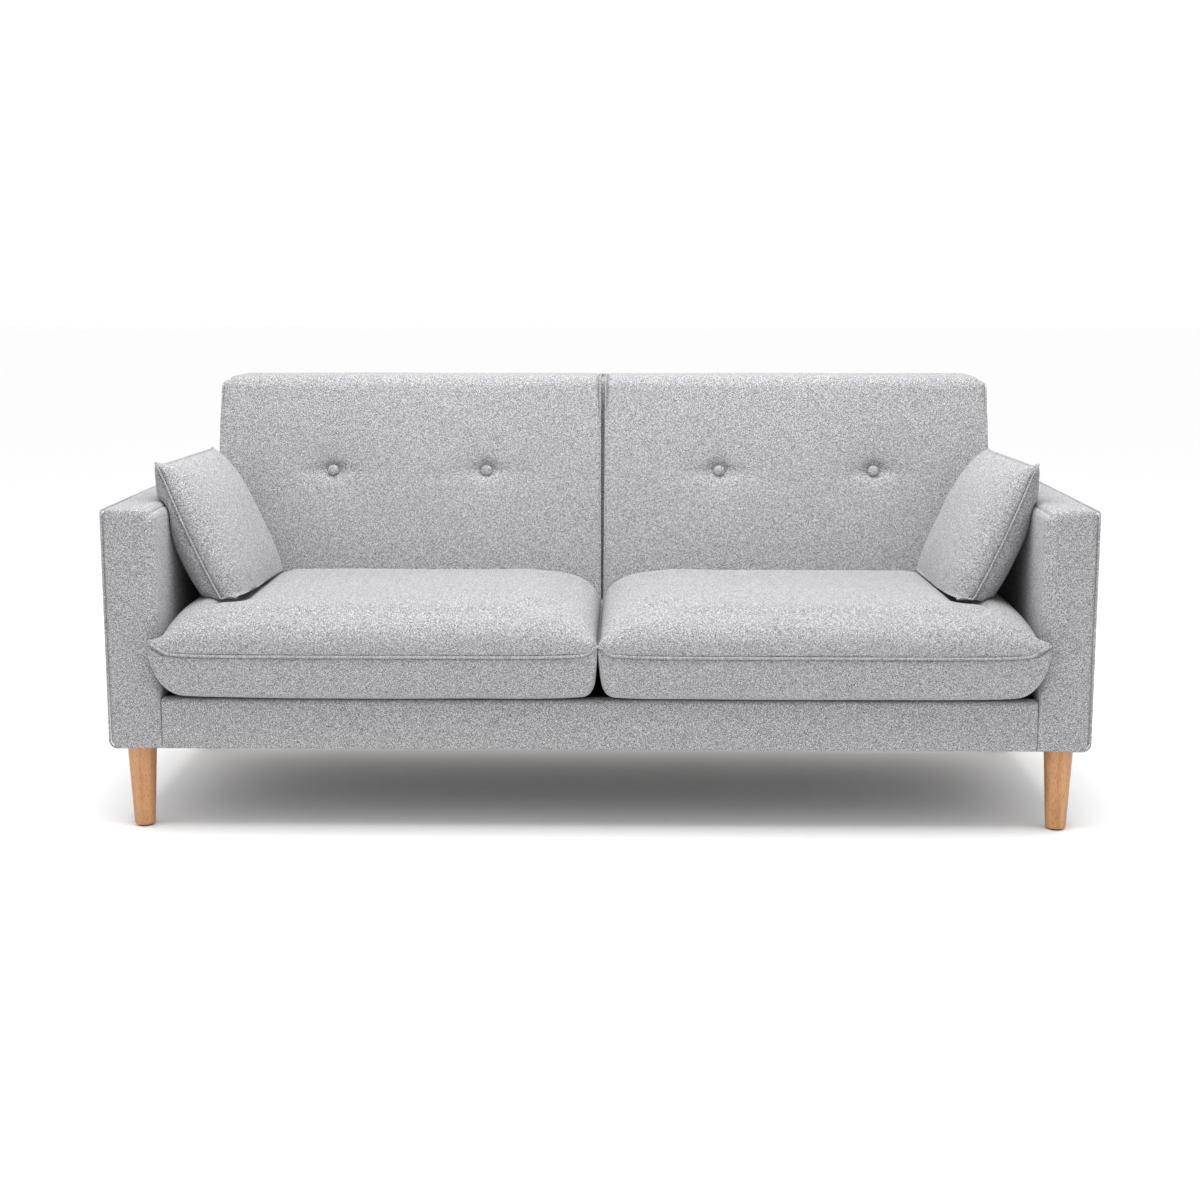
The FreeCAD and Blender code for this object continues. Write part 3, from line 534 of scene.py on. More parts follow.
def makeArm(side):
    low, high = (np.array(c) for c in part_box("arm_cover_right"))
    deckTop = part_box("deck_cloth")[1][2]
    lean = math.tan(math.radians(arm["rearRake"]))
    high[1] = rearY(high[2])
    points, direction, faces = softBlock(
        low, high, [r * mm for r in arm["edges"]], arm["step"] * mm,
        lambda p: armRadius(p, low, high, deckTop),
    )
    points = crowned(points, direction, low, high, {k: v * mm for k, v in arm["rises"].items()})
    # the seam draws the cloth in beside the welt, along the outer front edge and the outer top edge
    outer, front, top = high[0] - 0.8 * mm, low[1] + 1.6 * mm, high[2] - 3.5 * mm
    fromWelt = np.minimum(
        np.hypot(points[:, 0] - outer, points[:, 1] - front),
        np.hypot(points[:, 0] - outer, points[:, 2] - top),
    )
    inward = arm["weltGroove"] * mm * np.exp(-((fromWelt / (arm["weltReach"] * mm)) ** 2))
    points = points - direction * inward[:, None]
    points = cornerRounded(points, low, high, {k: (v * mm, v * mm) for k, v in arm["corners"].items()})
    points = points + direction * drift(points, 0.35, 0.7 * mm, 3 + sides[side])[:, None]
    share = smoothStep((points[:, 1] - low[1]) / (high[1] - low[1]))
    points[:, 1] += share * (points[:, 2] - high[2]) * lean
    points[:, 0] *= sides[side]
    piece = makePiece("arm_upholstery_" + side, points, faces, heather, "sofa")
    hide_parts("arm_cover_" + side, "arm_foam_" + side)
    # the welt where the outer panel is sewn on: round the lower corner, up the front, along the top
    # and down the rear
    foot = low[2] + 9 * mm
    rearLow = high[1] + (foot - high[2]) * lean
    corners = [
        ((high[0] - arm["weltTail"] * mm, front + 1 * mm, low[2] + 1.2 * mm), 0),
        ((outer, front, low[2] + 1.2 * mm), 15 * mm),
        ((outer - 1 * mm, front, top), 8 * mm),
        ((outer - 1 * mm, high[1] - 1.5 * mm, top), 9 * mm),
        ((outer, rearLow - 2 * mm, foot), 0),
    ]
    path = roundedPath(corners, 6 * mm)
    welt, weltFaces = carried(
        path, np.array([0.8, 0.5, 0.33]), ovalSection(arm["weltWidth"] * mm, arm["weltWidth"] * mm)
    )
    welt[:, 0] *= sides[side]
    makePiece("arm_welt_" + side, welt, weltFaces, heather, "sofa")


for side in sides:
    makeArm(side)
print("arms done")

border = {"step": 14.0, "edges": (1.5, 9.0), "rise": 3.0}
low, high = (np.array(c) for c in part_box("border_cover"))


# Round along the top front edge, tight elsewhere.
def borderRadius(points):
    top = smoothStep((points[:, 2] - low[2] - 40 * mm) / (40 * mm))
    return (border["edges"][0] * (1 - top) + border["edges"][1] * top) * mm


points, direction, faces = softBlock(
    low, high, [r * mm for r in border["edges"]], border["step"] * mm, borderRadius
)
ends = np.abs(points[:, 0]) > high[0] - border["edges"][1] * mm
points[ends, 0] = np.sign(points[ends, 0]) * (high[0] - (high[0] - np.abs(points[ends, 0])) * 0.12)
points = crowned(points, direction, low, high, {(1, -1): border["rise"] * mm})
points += direction * drift(points, 0.4, 0.6 * mm, 5)[:, None]
piece = makePiece("border_upholstery", points, faces, heather, "sofa")
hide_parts("border_cover", "border_foam")
print("border done")

# (x, depth behind the front, z) to the raked back: near the front a point keeps its distance to the
# front plane, near the rear its distance to the rear plane, and between it blends.
def backPlace(points, depth):
    d, z = points[:, 1], points[:, 2]
    share = smoothStep(d / depth)
    placed = points.copy()
    placed[:, 1] = (1 - share) * (frontY(z) + d) + share * (rearY(z) - 3 * mm - depth + d)
    return placed


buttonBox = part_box("back_buttons")
buttonZ = (buttonBox[0][2] + buttonBox[1][2]) / 2
buttonX = [buttonBox[1][0] - back["buttonRadius"] * mm - s * mm for s in (0, back["buttonSpacing"])]


def makeBackHalf(side):
    low, high = (np.array(c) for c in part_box("back_cover_right"))
    low[0], low[1], high[1] = back["gap"][0] * mm / 2, 0, back["depth"] * mm

    # Broad along the top, small where panels are sewn together.
    def radiusAt(points):
        top = smoothStep((points[:, 2] - high[2] + 110 * mm) / (100 * mm))
        rear = smoothStep((points[:, 1] - 60 * mm) / (80 * mm))
        front = back["frontEdge"] * (1 - top) + back["topEdge"] * top
        return (front * (1 - rear) + back["rearEdge"] * rear) * mm

    nearButtons = [(x, 44 * mm, 3.5 * mm) for x in buttonX]
    points, direction, faces = softBlock(
        low, high, [back[key] * mm for key in ("rearEdge", "frontEdge", "topEdge")],
        back["step"] * mm, radiusAt,
        (nearButtons, (), [(buttonZ, 40 * mm, 3.5 * mm)]),
    )
    points = crowned(
        points, direction, low, high, {(1, -1): back["crown"] * mm, (2, 1): 3 * mm, (0, 1): 2 * mm}
    )
    points = cornerRounded(
        points, low, high,
        {(1, 1): [v * mm for v in back["outerCorner"]], (-1, 1): [v * mm for v in back["innerCorner"]]},
    )
    facing = np.clip(-direction[:, 1], 0, 1) ** 2
    for x in buttonX:
        dx, dz = points[:, 0] - x, points[:, 2] - buttonZ
        pocket = np.exp(-(dx ** 2 + dz ** 2) / (back["pocketWidth"] * mm) ** 2)
        dimple = np.exp(-np.hypot(dx / 1.35, dz * 1.1) / (back["dimpleWidth"] * mm) * 1.1)
        away = np.clip(np.abs(dx) / (14 * mm), 0, 1) ** 2
        bend = dz + 0.06 * np.abs(dx)
        creaseX, creaseZ = dx / (back["creaseLength"] * mm), bend / (back["creaseWidth"] * mm)
        crease = away * np.exp(-(creaseX ** 2) - creaseZ ** 2)
        depth = back["pocketDepth"] * pocket + back["dimpleDepth"] * dimple + back["creaseDepth"] * crease
        points[:, 1] += facing * depth * mm
    points += direction * drift(points, 0.3, 0.9 * mm, 7 + sides[side])[:, None]
    # the two halves part a little towards the top
    nearGap = np.clip(1 - (points[:, 0] - low[0]) / (60 * mm), 0, 1)
    rise = (points[:, 2] - low[2]) / (high[2] - low[2])
    points[:, 0] += nearGap * rise * (back["gap"][1] - back["gap"][0]) / 2 * mm
    points = backPlace(points, back["depth"] * mm)
    points[:, 0] *= sides[side]
    piece = makePiece("back_upholstery_" + side, points, faces, heather, "sofa")
    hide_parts("back_cover_" + side, "back_pad_" + side)
    width = back["weltWidth"] * mm
    topGap = (back["gap"][1] - back["gap"][0]) / 2 * mm
    welts = (("outer", high[0] - 4.5 * mm, 0, 17 * mm), ("inner", low[0] + 1.6 * mm, topGap, 3 * mm))
    for name, x, spread, drop in welts:
        top = high[2] - drop
        corners = [
            ((x, frontY(low[2]) + 2 * mm, low[2]), 0), ((x + spread, frontY(top) + 2 * mm, top), 22 * mm),
            ((x + spread, rearY(top) - 5 * mm, top), 5 * mm), ((x, rearY(low[2]) - 5 * mm, low[2]), 0),
        ]
        path = roundedPath(corners, 7 * mm)
        welt, weltFaces = carried(path, np.array([1.0, 0, 0]), ovalSection(width, width))
        welt[:, 0] *= sides[side]
        makePiece("back_welt_" + name + "_" + side, welt, weltFaces, heather, "sofa")


for side in sides:
    makeBackHalf(side)


# The cloth pulled through between the halves: a flat band behind the front, over the top and to the
# rear.
def makeGapLining():
    low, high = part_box("back_cover_right")
    deep, top = 24 * mm, high[2] - 9 * mm
    corners = [
        ((0, frontY(low[2]) + deep, low[2]), 0), ((0, frontY(top) + deep, top), 14 * mm),
        ((0, rearY(top) - 5 * mm, top), 0),
    ]
    path = roundedPath(corners, 8 * mm)
    points, faces = carried(path, np.array([1.0, 0, 0]), ovalSection(26 * mm, 2 * mm, 16))
    makePiece("back_gap_cloth", points, faces, heather, "sofa")


makeGapLining()
print("back done")


# Covered buttons: a dome of revolution, r(t) = R sin t, height h cos t, with a tucked-under rim.
def makeButtons():
    radius, rise = back["buttonRadius"] * mm, 6.5 * mm
    tilt = math.radians(back["rake"])
    along = np.array([0, math.sin(tilt), math.cos(tilt)])
    outward = np.array([0, -math.cos(tilt), math.sin(tilt)])
    across = np.array([1.0, 0, 0])
    t, a = np.meshgrid(np.linspace(0, math.pi * 0.72, 14), np.linspace(0, 2 * math.pi, 33), indexing="ij")
    ring, lift = radius * np.sin(t) ** 0.8, rise * np.cos(t)
    parts = []
    middleY = (buttonBox[0][1] + buttonBox[1][1]) / 2 - back["buttonOut"] * mm
    for x in [s * b for s in (-1, 1) for b in buttonX]:
        centre = np.array([x, middleY, buttonZ])
        grid = (
            centre + across * (ring * np.cos(a))[..., None] + along * (ring * np.sin(a))[..., None]
            + outward * lift[..., None]
        )
        base = np.broadcast_to(grid[-1].mean(axis=0), grid[-1:].shape)
        grid = np.concatenate([grid, base])
        parts.append((grid.reshape(-1, 3), gridFaces(*grid.shape[:2])))
    points, faces = joined(parts)
    piece = makePiece("covered_buttons", points, faces, heather, "sofa")
    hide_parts("back_buttons")


makeButtons()
print("buttons done")

outerBack = {"thickness": 4.0, "rise": 3.0, "sideReach": 82.0, "sideThickness": 2.2, "welt": 4.6}


def makeOuterBack():
    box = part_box("outer_back_cover")
    low = np.array([box[0][0], 0, box[0][2] + 1 * mm])
    high = np.array([box[1][0], outerBack["thickness"] * mm, cadBounds[1][2] - 3 * mm])
    corner = [v * mm for v in back["outerCorner"]]

    def radiusAt(points):
        return np.full(len(points), 1.9 * mm)

    points, direction, faces = softBlock(low, high, [1.9 * mm], 18 * mm, radiusAt, (
        [(sign * (high[0] - corner[0] / 2), corner[0] / 2, 4 * mm) for sign in (-1, 1)], (),
        [(high[2] - corner[1] / 2, corner[1] / 2, 3 * mm)],
    ))
    points = crowned(points, direction, low, high, {(1, 1): outerBack["rise"] * mm, (1, -1): -2 * mm})
    points = cornerRounded(points, low, high, {(1, 1): corner, (-1, 1): corner})
    points[:, 1] += rearY(points[:, 2]) - outerBack["thickness"] * mm + drift(points, 0.5, 0.8 * mm, 11)
    parts = [(points, faces)]
    # the cloth turns forward round both sides, down to the foot
    thickness = outerBack["sideThickness"] * mm
    for sign in (-1, 1):
        edge = sorted((sign * high[0], sign * (high[0] - thickness)))
        lowSide = np.array([edge[0], -outerBack["sideReach"] * mm, low[2]])
        highSide = np.array([edge[1], -2.5 * mm, high[2] - 26 * mm])
        turned, _, turnedFaces = softBlock(
            lowSide, highSide, [1 * mm], 18 * mm, lambda p: np.full(len(p), 1 * mm)
        )
        turned[:, 1] += rearY(turned[:, 2])
        parts.append((turned, turnedFaces))
    points, faces = joined(parts)
    piece = makePiece("outer_back_cloth", points, faces, heather, "sofa")
    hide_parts("outer_back_cover")
    x, top = high[0] - 2.5 * mm, high[2] - 0.5 * mm
    width, height = corner[0] * 0.95, corner[1] * 0.95
    angle = np.linspace(0, math.pi / 2, 12)
    foot, shoulder = low[2] + 2 * mm, top - height
    right = np.stack([x - width + width * np.sin(angle), top - height + height * np.cos(angle)], axis=1)
    down = np.linspace([x, shoulder], [x, foot], 80)[1:]
    over = np.linspace([-x + width, top], [x - width, top], 160)[1:-1]
    plan = np.concatenate([down[::-1] * [-1, 1], right[::-1] * [-1, 1], over, right, down])
    path = np.stack([plan[:, 0], rearY(plan[:, 1]) - 2 * mm, plan[:, 1]], axis=1)
    tilt = math.radians(back["outerRake"])
    size = outerBack["welt"] * mm
    welt, weltFaces = carried(path, np.array([0, math.cos(tilt), -math.sin(tilt)]), ovalSection(size, size))
    makePiece("outer_back_welt", welt, weltFaces, heather, "sofa")


makeOuterBack()
print("outer back done")


# A stretched sheet over the frame: z + sag * (1 - u^2)(1 - v^2), closed below by its own underside.
def makeSheet(name, x, y, z, sag, steps, material):
    u, v = np.meshgrid(np.linspace(-1, 1, steps[0]), np.linspace(-1, 1, steps[1]), indexing="ij")
    flatX, flatY = (x[0] + x[1]) / 2 + u * (x[1] - x[0]) / 2, (y[0] + y[1]) / 2 + v * (y[1] - y[0]) / 2
    bow = sag * (1 - u ** 2) * (1 - v ** 2)
    ripple = 0.4 * mm * np.sin(flatX * 38) * np.sin(flatY * 31) * (1 - u ** 2) * (1 - v ** 2)
    upper = np.stack([flatX, flatY, z[1] + bow + ripple], axis=-1)
    lower = np.stack([flatX, flatY, z[0] + bow + ripple], axis=-1)
    faces = gridFaces(*u.shape)
    parts = [(upper.reshape(-1, 3), faces), (lower.reshape(-1, 3), faces[:, ::-1])]
    for edge in ((0, slice(None)), (-1, slice(None)), (slice(None), 0), (slice(None), -1)):
        wall = np.stack([upper[edge], lower[edge]])
        parts.append((wall.reshape(-1, 3), gridFaces(*wall.shape[:2])))
    points, faces = joined(parts)
    return makePiece(name, points, faces, material, "sofa")


low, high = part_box("deck_cloth")
deck = makeSheet(
    "deck_cloth_sheet", (low[0], high[0]), (low[1], high[1]), (low[2] + 0.2 * mm, high[2] - 0.6 * mm),
    0.5 * mm, (90, 30), finishes["lining"],
)
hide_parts("deck_cloth")
low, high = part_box("dust_cover")
dust = makeSheet(
    "dust_cover_sheet", (low[0], high[0]), (low[1], high[1]), (low[2] + 0.3 * mm, low[2] + 1.1 * mm),
    -1.2 * mm, (90, 30), finishes["lining"],
)
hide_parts("dust_cover")
print("sheets done")


stuffing = {"pressure": 3.0, "frames": 16, "mass": 0.3, "stretch": 12, "shear": 6, "bending": 0.6}


# Blows a closed mesh up as stuffed cloth: points in held stay, no point moves further than cap.
def inflate(points, faces, held, cap):
    mesh = bpy.data.meshes.new("inflating")
    mesh.from_pydata(points.tolist(), [], faces.tolist())
    work = bpy.data.objects.new("inflating", mesh)
    scene.collection.objects.link(work)
    pins = work.vertex_groups.new(name="held")
    pins.add(np.flatnonzero(held).tolist(), 1.0, "REPLACE")
    modifier = work.modifiers.new("cloth", "CLOTH")
    settings = modifier.settings
    settings.quality = 5
    settings.mass = stuffing["mass"]
    settings.tension_stiffness = settings.compression_stiffness = stuffing["stretch"]
    settings.shear_stiffness = stuffing["shear"]
    settings.bending_stiffness = stuffing["bending"]
    settings.use_pressure = True
    settings.uniform_pressure_force = stuffing["pressure"]
    settings.effector_weights.gravity = 0
    settings.vertex_group_mass = "held"
    modifier.collision_settings.use_collision = False
    for frameNumber in range(1, stuffing["frames"] + 1):
        scene.frame_set(frameNumber)
    blown = work.evaluated_get(bpy.context.evaluated_depsgraph_get()).data
    after = np.empty(len(points) * 3)
    blown.vertices.foreach_get("co", after)
    moved = after.reshape(-1, 3) - points
    length = np.linalg.norm(moved, axis=1, keepdims=True)
    moved = moved * np.minimum(1, cap / np.maximum(length, 1e-9))
    scene.frame_set(1)
    bpy.data.objects.remove(work)
    bpy.data.meshes.remove(mesh)
    return points + moved


cushion = {
    "sideGap": 4.0, "centreGap": 3.0, "backGap": 6.0,
    "seam": 374.0, "seamRise": 7.0, "step": 9.0,
    "crest": 100.0, "foot": 95.0,
    # reach and power of each edge's roundness: towards the centre, the arm, the front and the back
    "topEdges": ((165, 2.7), (180, 2.8), (250, 3.0), (60, 2.2)),
    "footEdges": ((45, 4.0), (62, 3.8), (70, 3.2), (30, 2.5)),
    "blow": 8.0, "sideBulge": 9.0,
    "earOut": 8.0, "earIn": 2.0, "earUp": 16.0, "earSize": 9.5,
    "groove": 4.5, "pucker": 0.7, "puckerPitch": 31.0,
    "tapeWidth": 6.0, "tapeOut": 9.0,
    "dent": 36.0, "dentWidth": 36.0,
}


# Places across a panel, step apart along its own profile and three times closer at the seams.
def profileAxis(length, start, end, height, step):
    t = np.linspace(0, 1, 6001)
    d = length * t ** 3 / (t ** 3 + (1 - t) ** 3)
    rise = height * swell(d, *start) * swell(length - d, *end)
    arc = np.concatenate([[0], np.cumsum(np.hypot(np.diff(d), np.diff(rise)))])
    count = round(arc[-1] / step)
    even = np.linspace(0, 1, count + 1)
    even = even - 0.7 * np.sin(2 * math.pi * even) / (2 * math.pi)
    return np.interp(even * arc[-1], arc, d), np.minimum(even, 1 - even) * arc[-1]


# Unit sum of the cross products of the diagonals of the quads round each point.
def vertexNormals(points, faces):
    a, b, c, d = (points[faces[:, k]] for k in range(4))
    cross = np.cross(c - a, d - b)
    total = np.zeros_like(points)
    for k in range(4):
        np.add.at(total, faces[:, k], cross)
    return total / np.maximum(np.linalg.norm(total, axis=1, keepdims=True), 1e-12)


# Two panels sewn together along their rims and blown up: the seam is held, then drawn in as a groove
# by groove * exp(-(s / 5 mm) ** 2), s from the seam, with small puckers that fade away from it.
def stuffed(sheets, blow, groove, pucker, pitch):
    faces = gridFaces(*sheets[0].shape[:2])
    points, faces = joined([(sheets[0].reshape(-1, 4), faces), (sheets[1].reshape(-1, 4), faces[:, ::-1])])
    points, faces, where = welded(points, faces)
    points, fromSeam = points[:, :3].copy(), points[:, 3]
    normals = outwardNormals(points, faces)
    moved = inflate(points, faces, fromSeam < 1e-6, blow * mm) - points
    inward = np.minimum((moved * normals).sum(axis=1, keepdims=True), 0)
    points = points + moved - normals * inward
    normals = outwardNormals(points, faces)
    along = (points[:, 0] + points[:, 1] + 0.4 * points[:, 2]) * 2 * math.pi / (pitch * mm)
    fading = np.exp(-fromSeam / (22 * mm)) * (1 - np.exp(-fromSeam / (4 * mm)))
    ripple = np.sin(along + 1.3 * np.sin(along * 0.37)) * fading
    inward = groove * mm * np.exp(-((fromSeam / (5 * mm)) ** 2)) + pucker * mm * ripple
    return points - normals * inward[:, None], faces, where


def outwardNormals(points, faces):
    normals = vertexNormals(points, faces)
    middle = points.mean(axis=0)
    return normals * np.sign(((points - middle) * normals).sum())


# The points round a sheet's border, in order.
def rim(sheet):
    return np.concatenate([sheet[:, 0], sheet[-1, 1:], sheet[-2::-1, -1], sheet[0, -2:0:-1]])[:, :3]


# How far a seat cushion is pressed down along the lower edge of the pillow that stands on it.
def underPillow(x, y):
    ends = np.array([[0, s * pillow["long"] * mm / 2, -pillow["short"] * mm / 2] for s in (-1, 1)])
    start, end = pillowPlace(ends, "left")
    run = (end - start)[:2]
    t = np.clip(((x - start[0]) * run[0] + (y - start[1]) * run[1]) / (run @ run), 0, 1)
    distance = np.hypot(x - start[0] - t * run[0], y - start[1] - t * run[1])
    return cushion["dent"] * mm * (1 - 0.75 * t) * np.exp(-((distance / (cushion["dentWidth"] * mm)) ** 2))


# The right cushion: two panels whose height over the seam is the product of four rounded edges.
def shapeSeatCushion():
    low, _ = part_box("seat_cushion_cover_right")
    x0, x1 = cushion["centreGap"] * mm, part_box("arm_cover_right")[0][0] - cushion["sideGap"] * mm
    y0, y1 = low[1] - 1 * mm, frontY(low[2]) - cushion["backGap"] * mm
    top = [(reach * mm, power) for reach, power in cushion["topEdges"]]
    foot = [(reach * mm, power) for reach, power in cushion["footEdges"]]
    height, step = cushion["crest"] * mm, cushion["step"] * mm
    alongX, seamX = profileAxis(x1 - x0, top[0], top[1], height, step)
    alongY, seamY = profileAxis(y1 - y0, foot[2], foot[3], height, step)
    x, y = np.meshgrid(x0 + alongX, y0 + alongY, indexing="ij")
    fromSeam = np.minimum(seamX[:, None], seamY[None, :])

    # Product of the four edges' swells.
    def over(edges):
        acrossX = swell(x - x0, *edges[0]) * swell(x1 - x, *edges[1])
        return acrossX * swell(y - y0, *edges[2]) * swell(y1 - y, *edges[3])

    across = 2 * (x - x0) / (x1 - x0) - 1
    seam = cushion["seam"] * mm + cushion["seamRise"] * mm * np.abs(across) ** 8
    shift = np.zeros(x.shape + (3,))
    for atX, out in ((x1, cushion["earOut"]), (x0, -cushion["earIn"])):
        for atY, reach in ((y0, -2.5), (y1, 2.0)):
            weight = np.exp(-((x - atX) ** 2 + (y - atY) ** 2) / (2 * (cushion["earSize"] * mm) ** 2))
            shift += weight[..., None] * np.array([out, reach, cushion["earUp"]]) * mm
    slope = math.tan(math.radians(back["rake"]))
    sheets = []
    for z in (seam + cushion["crest"] * mm * over(top), seam - cushion["foot"] * mm * over(foot)):
        sheet = np.stack([x, y, z], axis=-1) + shift
        # the rear leans back with the back's slope
        toRear = smoothStep((y - y0) / (y1 - y0) * 1.8 - 0.8)
        sheet[..., 1] += toRear * (sheet[..., 2] - low[2]) * slope
        sheets.append(np.concatenate([sheet, fromSeam[..., None]], axis=-1))
    points, faces, where = stuffed(
        sheets, cushion["blow"], cushion["groove"], cushion["pucker"], cushion["puckerPitch"]
    )
    # in front of the arm the side swells out; beside it the arm holds it in
    armFront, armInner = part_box("arm_cover_right")[0][1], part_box("arm_cover_right")[0][0]
    free = 1 - smoothStep((points[:, 1] - armFront + 30 * mm) / (28 * mm))
    points[:, 0] += cushion["sideBulge"] * mm * free * smoothStep((points[:, 0] - x1 + 70 * mm) / (70 * mm))
    held = np.where(points[:, 1] > armFront - 1 * mm, armInner - 3 * mm, 10)
    points[:, 0] = np.clip(points[:, 0], 0.8 * mm, held)
    points[:, 1] = np.minimum(points[:, 1], frontY(points[:, 2]) - 9 * mm)
    upper = points[:, 2] > cushion["seam"] * mm + 8 * mm
    points[:, 2] -= np.where(upper, underPillow(points[:, 0], points[:, 1]), 0)
    points[:, 2] = np.maximum(points[:, 2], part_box("deck_cloth")[1][2] + 0.5 * mm)
    size = sheets[0].shape[:2]
    return points, faces, rim(sheets[0]), points[where[: size[0] * size[1]]].reshape(size + (3,))


def makeSeatCushion(side):
    points, faces, ring, _ = cushionShape
    mirror = np.array([sides[side], 1, 1])
    points = points + drift(points, 0.25, 1.2 * mm, 21 + sides[side])[:, None] * np.array([0, 0, 1])
    points[:, 2] = np.maximum(points[:, 2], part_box("deck_cloth")[1][2] + 0.5 * mm)
    body = "seat_cushion_" + side
    piece = makePiece(
        "seat_cushion_upholstery_" + side, points * mirror, faces, heather, body
    )
    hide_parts("seat_cushion_cover_" + side, "seat_cushion_core_" + side)
    section = ovalSection(cushion["tapeWidth"] * mm, cushion["tapeOut"] * mm)
    tape, tapeFaces = carried(ring * mirror, np.array([0, 0, 1.0]), section, True)
    makePiece("seat_cushion_flange_" + side, tape, tapeFaces, heather, body)


zipper = {
    "tape": 13.0, "tapeThickness": 1.4, "aboveSeam": 13.0,
    "coilRadius": 1.3, "coilWire": 0.9, "pitch": 3.0,
    # the slider's body and its pull: length, width, thickness, how far along
    "slider": ((11, 7, 3.2, 0), (22, 5, 1.2, 15)),
}


# The zip at the rear, just above the seam: a flat tape, a coil (centre + r cos a across + r sin a
# outward, one turn a pitch, drawn coarser than the real 1.5 mm), and a slider with its pull.
def makeZip(side):
    low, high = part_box("seat_cushion_zip_right")
    grid = cushionShape[3]
    height = (cushion["seam"] + zipper["aboveSeam"]) * mm
    column = np.abs(grid[:, -15:, 2].mean(axis=0) - height).argmin() - 15
    line = grid[:, column]
    x = np.arange(low[0], high[0], zipper["pitch"] * mm / 10)
    path = np.stack([x, np.interp(x, line[:, 0], line[:, 1]), np.interp(x, line[:, 0], line[:, 2])], axis=1)
    slope = grid[len(grid) // 2, column - 1] - grid[len(grid) // 2, column + 1]
    across = np.array([0, slope[1], slope[2]]) / math.hypot(slope[1], slope[2])
    outward = np.array([0, across[2], -across[1]])
    flat = carried(path[::10], across, ovalSection(zipper["tape"] * mm, zipper["tapeThickness"] * mm, 12))
    turn = (x - low[0]) / (zipper["pitch"] * mm) * 2 * math.pi
    circle = np.cos(turn)[:, None] * across + 0.6 * np.sin(turn)[:, None] * outward
    coilPath = path + outward * 0.6 * mm + zipper["coilRadius"] * mm * circle
    wire = zipper["coilWire"] * mm
    coil = carried(coilPath, across * 0.3 + outward, ovalSection(wire, wire, 5))
    points, faces = joined([flat, coil])
    mirror = np.array([sides[side], 1, 1])
    body = "seat_cushion_" + side
    piece = makePiece("cushion_zip_" + side, points * mirror, faces, finishes["zip"], body)
    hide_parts("seat_cushion_zip_" + side)
    parts = []
    frameAxes = np.stack([np.array([1.0, 0, 0]), outward, across])
    for long, wide, thick, shift in zipper["slider"]:
        size = np.array([long, thick, wide]) * mm / 2
        block, _, blockFaces = softBlock(
            -size, size, [0.5 * mm], 1.5 * mm, lambda p, edge=thick: np.full(len(p), edge * 0.4 * mm)
        )
        place = path[120] + outward * 1.6 * mm + np.array([shift * mm, 0, 0])
        parts.append((block @ frameAxes + place, blockFaces))
    points, faces = joined(parts)
    makePiece("cushion_zip_slider_" + side, points * mirror, faces, finishes["fittings"], body)


pillow = {
    "short": 361.0, "long": 408.0, "half": 63.0, "step": 8.5,
    "endEdges": (150, 2.7), "longEdges": (150, 2.05), "bow": 4.0, "curve": 6.0,
    "lean": 24.5, "turn": 3.4, "x": {"left": 821.0, "right": 806.0}, "y": -68.0, "z": 576.0, "blow": 9.0,
    "earOut": 8.0, "earSize": 14.0, "groove": 3.0, "pucker": 0.8, "puckerPitch": 26.0,
    "tapeWidth": 4.5, "tapeOut": 8.0,
    "armRound": 26.0, "armClear": 3.0, "cushionClear": 2.5, "backClear": 14.0,
}
turned = Matrix.Rotation(math.radians(pillow["turn"]), 3, "Z")
leaned = Matrix.Rotation(math.radians(pillow["lean"]), 3, "Y")
pillowTurn = np.array(turned @ leaned)


# From the pillow's own frame (thickness, length, height) to its place, before the left one is mirrored.
def pillowPlace(points, side):
    return points @ pillowTurn.T + np.array([pillow["x"][side], pillow["y"], pillow["z"]]) * mm


# Two panels that rise from the seam as the product of four rounded edges, blown up and pressed into
# place.
def shapePillow(side):
    endEdge, longEdge = ((pillow[key][0] * mm, pillow[key][1]) for key in ("endEdges", "longEdges"))
    height, length, half = pillow["short"] * mm, pillow["long"] * mm, pillow["half"] * mm
    alongA, seamA = profileAxis(height, longEdge, longEdge, half, pillow["step"] * mm)
    alongB, seamB = profileAxis(length, endEdge, endEdge, half, pillow["step"] * mm)
    up, along = np.meshgrid(alongA - height / 2, alongB - length / 2, indexing="ij")
    bulge = half * swell(up + height / 2, *longEdge) * swell(height / 2 - up, *longEdge)
    bulge = bulge * swell(along + length / 2, *endEdge) * swell(length / 2 - along, *endEdge)
    bow = pillow["bow"] * mm * (1 - (2 * up / height) ** 2) * (2 * along / length) ** 5
    curve = pillow["curve"] * mm * (1 - (2 * up / height) ** 2)   # it bends towards the arm it leans on
    pull = np.stack([curve, bow, np.zeros_like(bow)], axis=-1)
    for da in (-1, 1):
        for db in (-1, 1):
            off = (up - da * height / 2) ** 2 + (along - db * length / 2) ** 2
            weight = np.exp(-off / (2 * (pillow["earSize"] * mm) ** 2))
            pull += weight[..., None] * np.array([0, db, da]) * pillow["earOut"] * (0.65 - 0.35 * db) * mm
    fromSeam = np.minimum(seamA[:, None], seamB[None, :])[..., None]
    sheets = [
        np.concatenate([np.stack([s * bulge, along, up], axis=-1) + pull, fromSeam], axis=-1) for s in (-1, 1)
    ]
    points, faces, _ = stuffed(
        sheets, pillow["blow"], pillow["groove"], pillow["pucker"], pillow["puckerPitch"]
    )
    return pressed(pillowPlace(points, side)), faces, pressed(pillowPlace(rim(sheets[0]), side))


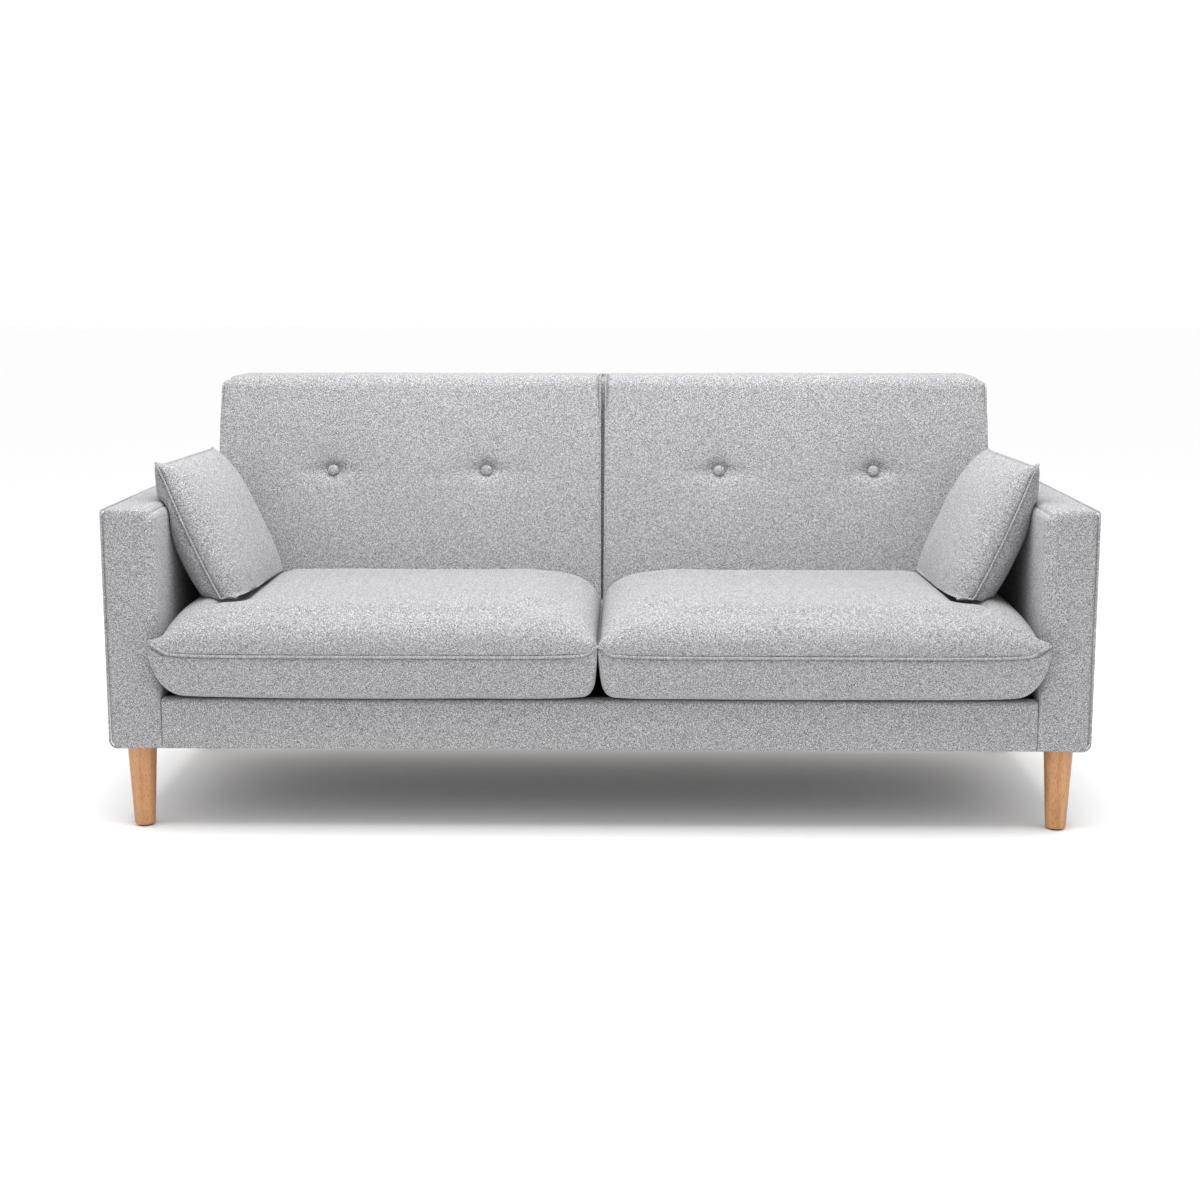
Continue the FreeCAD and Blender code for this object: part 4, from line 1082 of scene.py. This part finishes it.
# Moves points out of the arm, the seat cushion and the back, as a pillow flattens against them.
def pressed(points):
    points = points.copy()
    low, high = (np.array(c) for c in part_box("arm_cover_right"))
    radius, clear = pillow["armRound"] * mm, pillow["armClear"] * mm
    core = np.clip(points, low + radius, high - radius)
    away = points - core
    distance = np.linalg.norm(away, axis=1)
    shallow = (distance < radius + clear) & (distance > 1e-6)
    points = np.where(
        shallow[:, None], core + away / np.maximum(distance, 1e-6)[:, None] * (radius + clear), points
    )
    deep = distance <= 1e-6
    sideways = points[:, 0] - low[0] < high[2] - points[:, 2]
    points[:, 0] = np.where(deep & sideways, low[0] - clear, points[:, 0])
    points[:, 2] = np.where(deep & ~sideways, high[2] + clear, points[:, 2])
    grid = cushionShape[3]
    rows, columns = grid.shape[:2]
    i = np.clip(np.interp(points[:, 0], grid[:, columns // 2, 0], np.arange(rows)), 0, rows - 1.001)
    j = np.clip(np.interp(points[:, 1], grid[rows // 2, :, 1], np.arange(columns)), 0, columns - 1.001)
    i0, j0 = i.astype(int), j.astype(int)
    u, v, z = i - i0, j - j0, np.maximum.accumulate(grid[..., 2], axis=1)   # level behind the cushion's crest
    near, far = (z[i0, k] * (1 - u) + z[i0 + 1, k] * u for k in (j0, j0 + 1))
    lifted = np.maximum(points[:, 2], near * (1 - v) + far * v + pillow["cushionClear"] * mm)
    points[:, 2] = np.where(points[:, 0] < low[0], lifted, points[:, 2])
    points[:, 1] = np.minimum(points[:, 1], frontY(points[:, 2]) - pillow["backClear"] * mm)
    return points


def makePillow(side):
    points, faces, ring = shapePillow(side)
    mirror = np.array([sides[side], 1, 1])
    local = np.diag(mirror) @ pillowTurn
    body = "throw_pillow_" + side
    piece = makePiece(
        "throw_pillow_upholstery_" + side, points * mirror, faces, heather, body, local
    )
    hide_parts("pillow_cover_" + side, "pillow_filling_" + side)
    section = ovalSection(pillow["tapeWidth"] * mm, pillow["tapeOut"] * mm)
    tape, tapeFaces = carried(ring * mirror, local @ np.array([1.0, 0, 0]), section, True)
    makePiece("throw_pillow_seam_" + side, tape, tapeFaces, heather, body, local)


cushionShape = shapeSeatCushion()
for side in sides:
    makeSeatCushion(side)
    makeZip(side)
print("seat cushions done")
for side in sides:
    makePillow(side)
print("throw pillows done")

studio = {
    "floor": "#f6f6f6", "world": 1.06,
    "softbox": (3.0, 1.9), "softboxAt": (0, -0.5, 2.75), "power": 95.0,
}


def makeStudio():
    size = 40.0
    corners = [(-size, -size, 0), (size, -size, 0), (size, size, 0), (-size, size, 0)]
    mesh = bpy.data.meshes.new("floor")
    mesh.from_pydata(corners, [], [(0, 1, 2, 3)])
    floor = bpy.data.objects.new("floor", mesh)
    scene.collection.objects.link(floor)
    mesh.materials.append(mottled("painted_floor", studio["floor"], studio["floor"], 3.0, 0.9, bump=0.0))
    world = bpy.data.worlds.new("studio")
    world.use_nodes = True
    background = world.node_tree.nodes["Background"]
    background.inputs["Color"].default_value = (1, 1, 1, 1)
    background.inputs["Strength"].default_value = studio["world"]
    scene.world = world
    data = bpy.data.lights.new("softbox", "AREA")   # a broad soft source just above, a little to the front
    data.shape = "RECTANGLE"
    data.size, data.size_y = studio["softbox"]
    data.energy = studio["power"]
    lamp = bpy.data.objects.new("softbox", data)
    lamp.location = studio["softboxAt"]
    scene.collection.objects.link(lamp)


makeStudio()
print("studio done")
